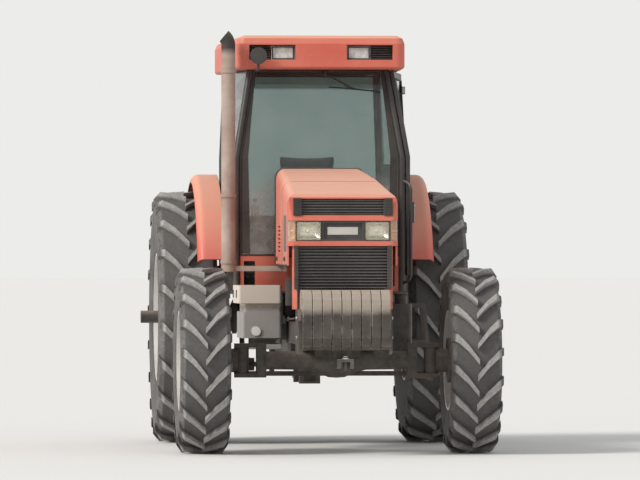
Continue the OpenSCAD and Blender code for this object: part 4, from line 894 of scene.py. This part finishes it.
# Door latch with its button, and the hinges' leaves
latchLook = {"x": 0.7220, "d": 1.305, "z": (1.712, 1.848), "hinges": (2.16, 2.70)}
bm = bmesh.new()
latchX, latchD = latchLook["x"], latchLook["d"]
addSpan(bm, (latchX - 0.004, latchX + 0.005), (latchD - 0.010, latchD + 0.010), latchLook["z"], 0.003)
addTurned(bm, [(0.0, 0.008), (0.012, 0.008), (0.014, 0.006)], (latchX, ahead(latchD), latchLook["z"][1] - 0.02), "x",
          20)
for z in latchLook["hinges"]:
    addSpan(bm, (0.706, 0.7275), (0.352, 0.44), (z + 0.004, z + 0.056), 0.003)
finishPiece("doorLatch", bm, "bareSteel", "door")
print("seals and door")

# Wiper parked under the roof's edge
wiperLook = {"pivot": (0.05, 2.835), "elbow": (0.27, 2.720), "blade": ((0.08, 2.735), (0.47, 2.700)), "off": 0.022}


def onShield(x, z, off):
    return Vector((x, ahead(postAt("front", z)[0] + off), z))


bm = bmesh.new()
pivot = onShield(*wiperLook["pivot"], 0.01)
addTurned(bm, [(-0.045, 0.016), (0.0, 0.020), (0.012, 0.020), (0.016, 0.014)], pivot, "y", 24)
armPoints = [onShield(*wiperLook["pivot"], wiperLook["off"] + 0.006), onShield(0.16, 2.778, wiperLook["off"] + 0.012),
             onShield(*wiperLook["elbow"], wiperLook["off"])]
addTube(bm, bent(armPoints, 0.03), 0.0055, 8)
first, last = [onShield(*p, wiperLook["off"] - 0.006) for p in wiperLook["blade"]]
addTube(bm, [first, (first + last) / 2 + Vector((0, 0, 0.003)), last], 0.005, 8)
addTube(bm, [first + Vector((0, 0.009, 0)), last + Vector((0, 0.009, 0))], 0.004, 6)
finishPiece("wiper", bm, "blackRubber", smooth=True)

# Black border printed on the windshield
borderLook = {"levels": ((1.47, 0.070), (1.80, 0.068), (2.2, 0.060), (2.45, 0.040), (2.84, 0.016)),
              "off": (0.0030, 0.0042)}
under, over = borderLook["off"]
bm = bmesh.new()
for sign in (-1, 1):
    rows = []
    for z, wide in borderLook["levels"]:
        d, x = postAt("front", z)
        corners = ((0.0, under), (wide, under), (wide, over), (0.0, over))
        rows.append([bm.verts.new((sign * (x - sealLook["inFromPost"] - inward), ahead(d + off), z))
                     for inward, off in corners])
    for first, second in zip(rows, rows[1:]):
        band(bm, first, second)
    bm.faces.new(rows[0])
    bm.faces.new(rows[-1])
finishPiece("shieldBorder", bm, "blackRubber")

# Black trim beside the right front post, partly a painted shade there, grab rail by the door and the mirror's glass
trimLook = {
    "post": ((-0.648, 1.19), (-0.706, 1.19), (-0.704, 2.06), (-0.690, 2.16), (-0.668, 2.24), (-0.640, 2.26)),
    "postD": (1.322, 1.280), "mirror": (-0.480, 1.560, 2.962), "mirrorHalf": 0.054,
}
# Black plate beside the right front post: a trim that also serves as painted shade
bm = bmesh.new()
addPlate(bm, trimLook["post"], *[ahead(d) for d in trimLook["postD"]], "y")
finishPiece("postTrim", bm, "blackPaint")
railLook = {"d": 1.408, "x": 0.690, "low": 1.24, "high": 2.02, "radius": 0.012}
bm = bmesh.new()
lowX, highX = postAt("front", railLook["low"])[1], postAt("front", railLook["high"])[1]
addPipe(bm, [(lowX, 1.322, railLook["low"]), (railLook["x"], railLook["d"], railLook["low"] + 0.03),
             (railLook["x"], railLook["d"] - 0.004, railLook["high"] - 0.03), (highX, 1.318, railLook["high"])], 0.06,
        railLook["radius"], 14)
finishPiece("grabRail", bm, "blackPaint", smooth=True)
bm = bmesh.new()
mirrorX, mirrorD, mirrorZ = trimLook["mirror"]
addTurned(bm, [(0.0, trimLook["mirrorHalf"]), (0.0015, trimLook["mirrorHalf"])],
          (mirrorX, ahead(mirrorD) + 0.0002, mirrorZ), "y", 40)
finishPiece("mirrorGlass", bm, "reflector")
print("cab trim")

# Fine mesh behind the grilles' bars
meshLook = {"pitch": 0.012, "wire": 0.0011}


def buildWire(long):
    def build(bm):
        addTube(bm, [(0, 0, -long / 2), (0, 0, long / 2)], meshLook["wire"], 4)
    return build


for name in ("upper", "lower"):
    low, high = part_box(name + "_grille")
    wide, tall = high[0] - low[0] - 0.014, high[2] - low[2] - 0.004
    wire = unitShape("wireUnit", buildWire(tall))
    repeated(f"{name}GrilleMesh", wire, {
        "kind": "grid", "count": int(wide / meshLook["pitch"]), "spread": wide,
        "place": ((low[0] + high[0]) / 2, high[1] - 0.013, (low[2] + high[2]) / 2), "turn": (0.0, 0.0, 0.0),
    }, "blackPaint")
    dropUnit(wire)
surroundLook = {"upper": ((-0.362, 0.362), (-0.299, 0.299), 9), "lower": ((-0.356, 0.356), (-0.324, 0.324), 15),
                "proud": 0.0025, "lip": 0.004}
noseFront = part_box("nose")[0][1]
bm = bmesh.new()
for name in ("upper", "lower"):
    low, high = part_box(name + "_grille")
    outer, inner, ribs = surroundLook[name]
    for x0, x1 in ((outer[0], inner[0]), (inner[1], outer[1])):
        addBlock(bm, (x0, noseFront - surroundLook["proud"], low[2] - surroundLook["lip"]),
                 (x1, noseFront + 0.002, high[2] + surroundLook["lip"]), 0.001)
        for k in range(ribs):
            z = low[2] + (high[2] - low[2]) * (k + 0.5) / ribs
            addBlock(bm, (x0 + 0.004, noseFront - surroundLook["proud"] - 0.002, z - 0.0022),
                     (x1 - 0.004, noseFront, z + 0.0022))
finishPiece("grilleSurrounds", bm, "blackRubber")
print("grille mesh")

# Cab inside: headliner, right console with its levers, mat and the dials on the steering column
insideLook = {
    "linerZ": (2.853, 2.864), "matZ": (1.1812, 1.187), "consoleX": (-0.54, -0.352),
    "console": ((0.05, 1.182), (0.05, 1.62), (0.12, 1.70), (0.50, 1.70), (0.62, 1.66), (0.80, 1.30), (0.80, 1.182)),
    "levers": ((0.30, -0.49, 0.11), (0.36, -0.45, 0.11), (0.42, -0.41, 0.11), (0.54, -0.44, 0.17)),
    "dialX": (-0.085, 0.0, 0.085), "dialLean": 24.0,
}
bm = bmesh.new()
addSpan(bm, (-0.47, 0.47), (-0.34, 1.12), insideLook["linerZ"], 0.004)
finishPiece("headliner", bm, "seatCloth")
bm = bmesh.new()
addPlate(bm, [(ahead(d), z) for d, z in insideLook["console"]], *insideLook["consoleX"])
bmesh.ops.bevel(bm, geom=bm.edges[:], offset=0.012, segments=3, affect="EDGES", clamp_overlap=True)
for d, x, tall in insideLook["levers"]:
    addPipe(bm, [(x, d, 1.69), (x, d + 0.015, 1.70 + tall * 0.6), (x, d, 1.70 + tall)], 0.02, 0.005, 8)
    addTurned(bm, [(-0.018, 0.006), (-0.010, 0.013), (0.006, 0.015), (0.016, 0.009)], (x, ahead(d), 1.71 + tall), "z",
              16)
finishPiece("sideConsole", bm, "consolePlastic")
bm = bmesh.new()
addSpan(bm, (-0.33, 0.52), (0.50, 1.07), insideLook["matZ"], 0.002)
finishPiece("floorMat", bm, "blackRubber")
bm, bezels = bmesh.new(), bmesh.new()
lean = Matrix.Rotation(math.radians(insideLook["dialLean"]), 4, "X")
for x in insideLook["dialX"]:
    centre = Vector((x, ahead(1.066), 1.961))
    for target, profile in ((bm, [(0.0, 0.034), (0.003, 0.034)]),
                            (bezels, [(0.0, 0.039), (0.007, 0.039), (0.007, 0.034)])):
        before = len(target.verts)
        addTurned(target, profile, (0, 0, 0), "z", 28)
        target.verts.ensure_lookup_table()
        for vert in target.verts[before:]:
            vert.co = centre + lean @ vert.co
finishPiece("dialFaces", bm, "palePlastic")
finishPiece("dialBezels", bezels, "blackRubber")
print("cab inside")

# Beading round the hood's rear edge and along its sides, with its latches
hoodLook = {"rear": 1.402, "middle": 2.48, "front": 3.558, "low": 1.384, "bead": 0.007,
            "halves": (0.3385, 0.37075, 0.403), "top": 0.2785, "topZ": 2.110, "drop": 0.09, "steps": 8,
            "latches": (1.75, 3.20), "latchZ": (1.412, 1.446), "latchHalf": 0.035, "taperFrom": 1.4,
            "taperLong": 2.16}
bm = bmesh.new()
arch = [(hoodLook["halves"][0], hoodLook["low"])]
for k in range(hoodLook["steps"] + 1):
    t = math.radians(90 * k / hoodLook["steps"])
    arch.append((hoodLook["top"] + (hoodLook["halves"][0] - hoodLook["top"]) * math.cos(t),
                 hoodLook["topZ"] - hoodLook["drop"] * (1 - math.sin(t))))
whole = arch + [(-x, z) for x, z in reversed(arch)]
addTube(bm, [(x, ahead(hoodLook["rear"]), z) for x, z in whole], hoodLook["bead"], 8)
for sign in (-1, 1):
    places = zip(hoodLook["halves"], (hoodLook["rear"], hoodLook["middle"], hoodLook["front"]))
    addTube(bm, [(sign * half, ahead(d), hoodLook["low"]) for half, d in places], hoodLook["bead"] - 0.001, 8)
finishPiece("hoodBeading", bm, "blackRubber", smooth=True)
bm = bmesh.new()
for sign in (-1, 1):
    for d in hoodLook["latches"]:
        near, far = hoodLook["halves"][0], hoodLook["halves"][2]
        half = near + (far - near) * (d - hoodLook["taperFrom"]) / hoodLook["taperLong"]
        x0, x1 = bothWays((half - 0.006, half + 0.010), sign)
        (z0, z1), long = hoodLook["latchZ"], hoodLook["latchHalf"]
        addBlock(bm, (x0, ahead(d) - long, z0), (x1, ahead(d) + long, z1), 0.004)
        addTurned(bm, facing([(0.0, 0.007), (0.012, 0.007), (0.014, 0.004)], sign),
                  (sign * half, ahead(d) + 0.022, (z0 + z1) / 2), "x", 14)
finishPiece("hoodLatches", bm, "blackRubber")

# Seam where the hood's front part tilts, following its section
seamLook = {"d": 2.665, "middle": 1.75, "reach": 1.5, "steps": 60, "proud": 0.0012, "wide": 0.003}
bm = bmesh.new()
path = []
start = Vector((0.0, ahead(seamLook["d"]), seamLook["middle"]))
for k in range(seamLook["steps"] + 1):
    t = math.pi * k / seamLook["steps"]
    outward = Vector((math.cos(t), 0.0, math.sin(t)))
    hit, place = frame["nodes"]["hood"].ray_cast(start + outward * seamLook["reach"], -outward)[:2]
    if hit:
        path.append(place + outward * seamLook["proud"] * 0.2)
low = hoodLook["low"] + 0.012
path = [Vector((path[0].x, path[0].y, low))] + path + [Vector((path[-1].x, path[-1].y, low))]
addTube(bm, path, seamLook["wide"] / 2, 6)
finishPiece("hoodSeam", bm, "blackRubber", smooth=True)
print("hood trim")

# Engine bay: belt, coolant hoses, injection pump with its lines, and wiring
bayLook = {
    "belt": 2.872, "beltHalf": 0.007, "pulleys": ((0.0, 1.240, 0.09), (0.0, 1.080, 0.095), (0.15, 1.330, 0.06)),
    "hoses": ((0.026, ((0.10, 2.79, 1.66), (0.10, 2.90, 1.70), (0.14, 3.05, 1.70), (0.14, 3.17, 1.68))),
              (0.028, ((-0.12, 2.83, 1.02), (-0.14, 2.93, 1.02), (-0.24, 3.05, 1.10), (-0.24, 3.17, 1.12)))),
    "hoseBend": 0.06, "pump": ((0.214, 0.318), (2.36, 2.52), (1.175, 1.285)), "lines": 6, "lineHalf": 0.0035,
    "loom": (0.292, 0.985), "loomHalf": 0.009, "harnessHalf": 0.012,
    "harness": ((0.19, 2.60, 1.50), (0.245, 2.50, 1.47), (0.235, 2.20, 1.455), (0.235, 1.85, 1.46),
                (0.18, 1.74, 1.50)),
}


def bendsIn(first, second, third):
    return ((second[0] - first[0]) * (third[1] - first[1]) - (second[1] - first[1]) * (third[0] - first[0])) <= 0


def beltPath(pulleys, d):
    points = []
    for x, z, radius in pulleys:
        for k in range(24):
            t = 2 * math.pi * k / 24
            points.append((x + (radius + 0.004) * math.cos(t), z + (radius + 0.004) * math.sin(t)))
    points.sort()
    hull = []
    for run in (points, list(reversed(points))):
        part = []
        for p in run:
            while len(part) > 1 and bendsIn(part[-2], part[-1], p):
                part.pop()
            part.append(p)
        hull += part[:-1]
    return [(x, ahead(d), z) for x, z in hull]


bm = bmesh.new()
addTube(bm, beltPath(bayLook["pulleys"], bayLook["belt"]), bayLook["beltHalf"], 6, closed=True)
for radius, places in bayLook["hoses"]:
    addPipe(bm, places, bayLook["hoseBend"], radius, 16)
finishPiece("coolantHoses", bm, "blackRubber", smooth=True)
bm = bmesh.new()
addSpan(bm, *bayLook["pump"], 0.010)
addTurned(bm, [(0.0, 0.04), (0.05, 0.044), (0.06, 0.03)], (0.266, ahead(2.53), 1.23), "y", 24)
for i in range(bayLook["lines"]):
    start = (0.250 + 0.012 * (i % 3), ahead(2.40 + 0.02 * i), 1.283)
    end = (0.224, ahead(1.98 + 0.08 * i), 1.405)
    middle = (0.262 + 0.006 * i, (start[1] + end[1]) / 2, 1.335 + 0.008 * i)
    addTube(bm, bent([start, (start[0], start[1], 1.312 + 0.008 * i), middle, end], 0.03), bayLook["lineHalf"], 6)
finishPiece("injectionPump", bm, "castIron")
bm = bmesh.new()
for sign in (1, -1):
    x, z = sign * bayLook["loom"][0], bayLook["loom"][1]
    addPipe(bm, [(x * 0.86, 1.72, z + 0.04), (x, 1.80, z), (x, 2.30, z - 0.006), (x, 2.80, z),
                 (x * 0.9, 2.95, z + 0.05)], 0.05, bayLook["loomHalf"], 8)
addPipe(bm, bayLook["harness"], 0.05, bayLook["harnessHalf"], 10)
finishPiece("wiringLoom", bm, "blackRubber", smooth=True)
print("engine bay")

# Fenders: rubber along both edges, and tail lamps behind
fenderLook = {"edges": ((0.899, 1.045, 0.0085, 8), (0.7123, 0.725, 0.008, 6)), "from": 24.0, "to": 150.0,
              "lampX": (0.775, 0.885), "lampD": -0.938, "lampZ": (1.574, 1.728)}


def roundAxle(x, radius, degrees):
    t = math.radians(degrees)
    return Vector((x, ahead(radius * math.cos(t)), rearRadius + radius * math.sin(t)))


fenderArc = [fenderLook["from"] + (fenderLook["to"] - fenderLook["from"]) * k / 30 for k in range(31)]
bm = bmesh.new()
for sign in (-1, 1):
    for x, reach, radius, sides in fenderLook["edges"]:
        addTube(bm, [roundAxle(sign * x, reach, degrees) for degrees in fenderArc], radius, sides)
finishPiece("fenderEdges", bm, "blackRubber", smooth=True)
housing, lens = bmesh.new(), bmesh.new()
for sign in (-1, 1):
    x0, x1 = bothWays(fenderLook["lampX"], sign)
    low, high = fenderLook["lampZ"]
    back = fenderLook["lampD"]
    addPlate(housing, [(ahead(back + 0.012), low), (ahead(back + 0.1306), high), (ahead(back), high),
                       (ahead(back), low)], x0, x1)
    for z0, z1 in ((low + 0.026, low + 0.084), (low + 0.090, high - 0.008)):
        addBlock(lens, (x0 + 0.007, ahead(back) - 0.002, z0), (x1 - 0.007, ahead(back) + 0.008, z1), 0.003)
finishPiece("tailLamps", housing, "blackRubber")
finishPiece("tailLenses", lens, "redLens")

# Work lamps and vents on the roof's rear face, and its hatch
roofLook = {"rear": -0.450, "lampX": 0.42, "lampZ": 2.975, "radius": 0.062, "slots": 9, "slotLow": 2.925,
            "slotPitch": 0.012, "slotHalf": 0.26, "boltX": 0.22, "boltD": (0.22, 0.65),
            "hatch": ((-0.27, 0.27), (0.15, 0.72), (3.116, 3.134))}
housing, lens = bmesh.new(), bmesh.new()
for sign in (-1, 1):
    place = (sign * roofLook["lampX"], ahead(roofLook["rear"]), roofLook["lampZ"])
    half = roofLook["radius"]
    addTurned(housing, [(-0.004, 0.045), (0.030, half), (0.052, half + 0.004), (0.056, half),
                        (0.050, half - 0.006)], place, "y", 32)
    addTurned(lens, [(0.040, half - 0.007), (0.052, half - 0.008), (0.055, 0.03)], place, "y", 32)
for k in range(roofLook["slots"]):
    z = roofLook["slotLow"] + roofLook["slotPitch"] * k
    addBlock(housing, (-roofLook["slotHalf"], ahead(roofLook["rear"]) - 0.002, z),
             (roofLook["slotHalf"], ahead(roofLook["rear"]) + 0.005, z + 0.006), 0.001)
finishPiece("rearLamps", housing, "blackRubber")
finishPiece("rearLenses", lens, "lampGlass", smooth=True)
bm = bmesh.new()
addSpan(bm, *roofLook["hatch"], 0.010)
finishPiece("roofHatch", bm, "redPaint")
bm = bmesh.new()
for sign in (-1, 1):
    for d in roofLook["boltD"]:
        addTurned(bm, [(0.0, 0.010), (0.005, 0.010), (0.007, 0.006)],
                  (sign * roofLook["boltX"], ahead(d), roofLook["hatch"][2][1]), "z", 14)
finishPiece("hatchBolts", bm, "blackRubber")

# Rear window's wiper and handle, and the trailer socket beside it
backLook = {"pivot": (0.0, 1.700), "wiper": (0.26, 1.842), "handle": (0.0, 1.790), "socket": (-0.36, 1.50)}


def behindCab(x, z, off):
    return Vector((x, ahead(postAt("rear", z)[0] - off), z))


bm = bmesh.new()
hub = behindCab(*backLook["pivot"], 0.020)
addTurned(bm, [(-0.030, 0.018), (0.006, 0.022), (0.014, 0.018)], hub, "y", 24)
tip = behindCab(*backLook["wiper"], 0.032)
addTube(bm, [hub + Vector((0, 0.010, 0)), hub.lerp(tip, 0.5) + Vector((0, 0.012, 0)), tip], 0.0050, 8)
along = Vector((0.96, 0.0, 0.10)).normalized() * 0.22
addTube(bm, [tip - along + Vector((0, -0.012, 0)), tip + Vector((0, -0.008, 0)),
             tip + along + Vector((0, -0.012, 0))], 0.0055, 8)
handle = behindCab(*backLook["handle"], 0.008)
addTube(bm, bent([handle + Vector((-0.075, -0.008, 0)), handle + Vector((-0.070, 0.030, 0)),
                  handle + Vector((0.070, 0.030, 0)), handle + Vector((0.075, -0.008, 0))], 0.02), 0.008, 10)
addTurned(bm, [(-0.012, 0.034), (0.006, 0.034), (0.008, 0.030), (0.030, 0.030), (0.032, 0.026)],
          behindCab(*backLook["socket"], 0.016), "y", 28)
finishPiece("rearFittings", bm, "blackRubber")
print("fenders and roof")

# Steps' grip ridges, weights' bolts, front hitch, and the boxes' fittings
stepLook = {"steps": 3, "low": 0.545, "rise": 0.27, "wide": 0.200, "taper": 0.030, "x": 0.660, "d": 1.300, "count": 9,
            "rows": 4, "rowSpread": 0.160, "high": 0.004}
stepUnit = unitShape("gripUnit", lambda bm: addBlock(bm, (-0.006, -0.022, 0.0), (0.006, 0.022, stepLook["high"]),
                                                     0.001))
for i in range(stepLook["steps"]):
    top = stepLook["low"] + stepLook["rise"] * i
    wide = stepLook["wide"] - stepLook["taper"] * i
    repeated(f"stepGrip{i}", stepUnit, {
        "kind": "grid", "count": stepLook["count"], "spread": wide - 0.030, "rows": stepLook["rows"],
        "rowSpread": stepLook["rowSpread"], "place": (stepLook["x"] + wide / 2, ahead(stepLook["d"]), top - 0.0005),
        "turn": (0.0, 0.0, 0.0),
    }, "blackPaint")
dropUnit(stepUnit)
hitchLook = {"boltX": 0.3422, "boltD": 3.760, "boltZ": (0.86, 1.00), "pinD": 3.855,
             "plate": ((-0.058, 0.058), (3.815, 3.888), (0.6995, 0.7050))}
bm = bmesh.new()
for z in hitchLook["boltZ"]:
    for sign in (-1, 1):
        addTurned(bm, facing([(0.0, 0.013), (0.010, 0.013), (0.012, 0.006)], sign),
                  (sign * hitchLook["boltX"], ahead(hitchLook["boltD"]), z), "x", 6)
addSpan(bm, *hitchLook["plate"], 0.002)
addTurned(bm, [(0.0, 0.026), (0.010, 0.026), (0.016, 0.018), (0.022, 0.018), (0.026, 0.012)],
          (0.0, ahead(hitchLook["pinD"]), hitchLook["plate"][2][1]), "z", 24)
finishPiece("frontHitch", bm, "brightSteel")
boxLook = {"lamp": (-0.535, 2.1215, 0.888), "latchX": (-0.676, -0.668), "latchD": (1.60, 1.98), "latchHalf": 0.025,
           "latchZ": (1.135, 1.195), "cap": (0.560, 2.04, 1.1485)}
bm = bmesh.new()
lampX, lampD, lampZ = boxLook["lamp"]
addTurned(bm, [(0.0, 0.036), (0.006, 0.036), (0.010, 0.030)], (lampX, ahead(lampD) - 0.0105, lampZ), "y", 28)
finishPiece("boxReflector", bm, "reflector")
bm = bmesh.new()
for d in boxLook["latchD"]:
    addSpan(bm, boxLook["latchX"], (d - boxLook["latchHalf"], d + boxLook["latchHalf"]), boxLook["latchZ"], 0.002)
capX, capD, capZ = boxLook["cap"]
addTurned(bm, [(0.0, 0.050), (0.020, 0.052), (0.026, 0.046)], (capX, ahead(capD), capZ), "z", 28)
finishPiece("boxLatches", bm, "blackRubber")
print("steps, hitch and boxes")

# Rear: coupler caps, hoses up to the cab, and the linkage's rings, clips, pins and handle
rearLook = {
    "couplerX": (0.132, 0.178), "couplerZ": 0.970, "back": -0.480, "hoseX": (0.10, 0.13, -0.10, -0.13),
    "hoseHalf": 0.009, "ballX": 0.412, "ballOut": 0.0205, "ballD": -1.20, "ballZ": 0.600, "clipHalf": 0.0035,
    "clip": ((0.430, -1.06, 0.640), (0.430, -1.10, 0.668), (0.412, -1.12, 0.660), (0.398, -1.10, 0.640)),
    "liftPin": (0.4790, -0.86, 1.090), "handleHalf": 0.006,
    "handle": ((0.0, -0.60, 1.002), (0.0, -0.66, 1.038), (0.0, -0.84, 1.038), (0.0, -0.90, 1.002)),
}
bm = bmesh.new()
for x in rearLook["couplerX"]:
    addTurned(bm, [(-0.002, 0.019), (0.020, 0.021), (0.026, 0.021), (0.032, 0.014)],
              (x, ahead(rearLook["back"]), rearLook["couplerZ"]), "y", 24)
finishPiece("couplerCaps", bm, "blackRubber")
bm = bmesh.new()
for i, x in enumerate(rearLook["hoseX"]):
    addPipe(bm, [(x, -0.375, 1.02 - 0.03 * (i % 2)), (x * 1.2, -0.405, 1.04), (x * 1.3, -0.40, 1.10),
                 (x * 1.1, -0.34, 1.166)], 0.03, rearLook["hoseHalf"], 8)
finishPiece("rearHoses", bm, "blackRubber", smooth=True)
for side, sign in (("left", 1), ("right", -1)):
    bm = bmesh.new()
    for k in range(2):
        x = sign * (rearLook["ballX"] + (k * 2 - 1) * rearLook["ballOut"])
        addTurned(bm, [(-0.003, 0.0175), (0.003, 0.0175)], (x, ahead(rearLook["ballD"]), rearLook["ballZ"]), "x", 28)
    addPipe(bm, [(sign * x, d, z) for x, d, z in rearLook["clip"]], 0.012, rearLook["clipHalf"], 6)
    finishPiece(f"linkFittings_{side}", bm, "bareSteel", f"lower_link_{side}")
    bm = bmesh.new()
    pinX, pinD, pinZ = rearLook["liftPin"]
    addTurned(bm, facing([(0.0, 0.022), (0.005, 0.022), (0.007, 0.018)], sign), (sign * pinX, ahead(pinD), pinZ), "x",
              24)
    finishPiece(f"liftPin_{side}", bm, "bareSteel", "lift_arms")
bm = bmesh.new()
addPipe(bm, rearLook["handle"], 0.03, rearLook["handleHalf"], 8)
finishPiece("topLinkHandle", bm, "bareSteel", "top_link", smooth=True)
print("linkage")
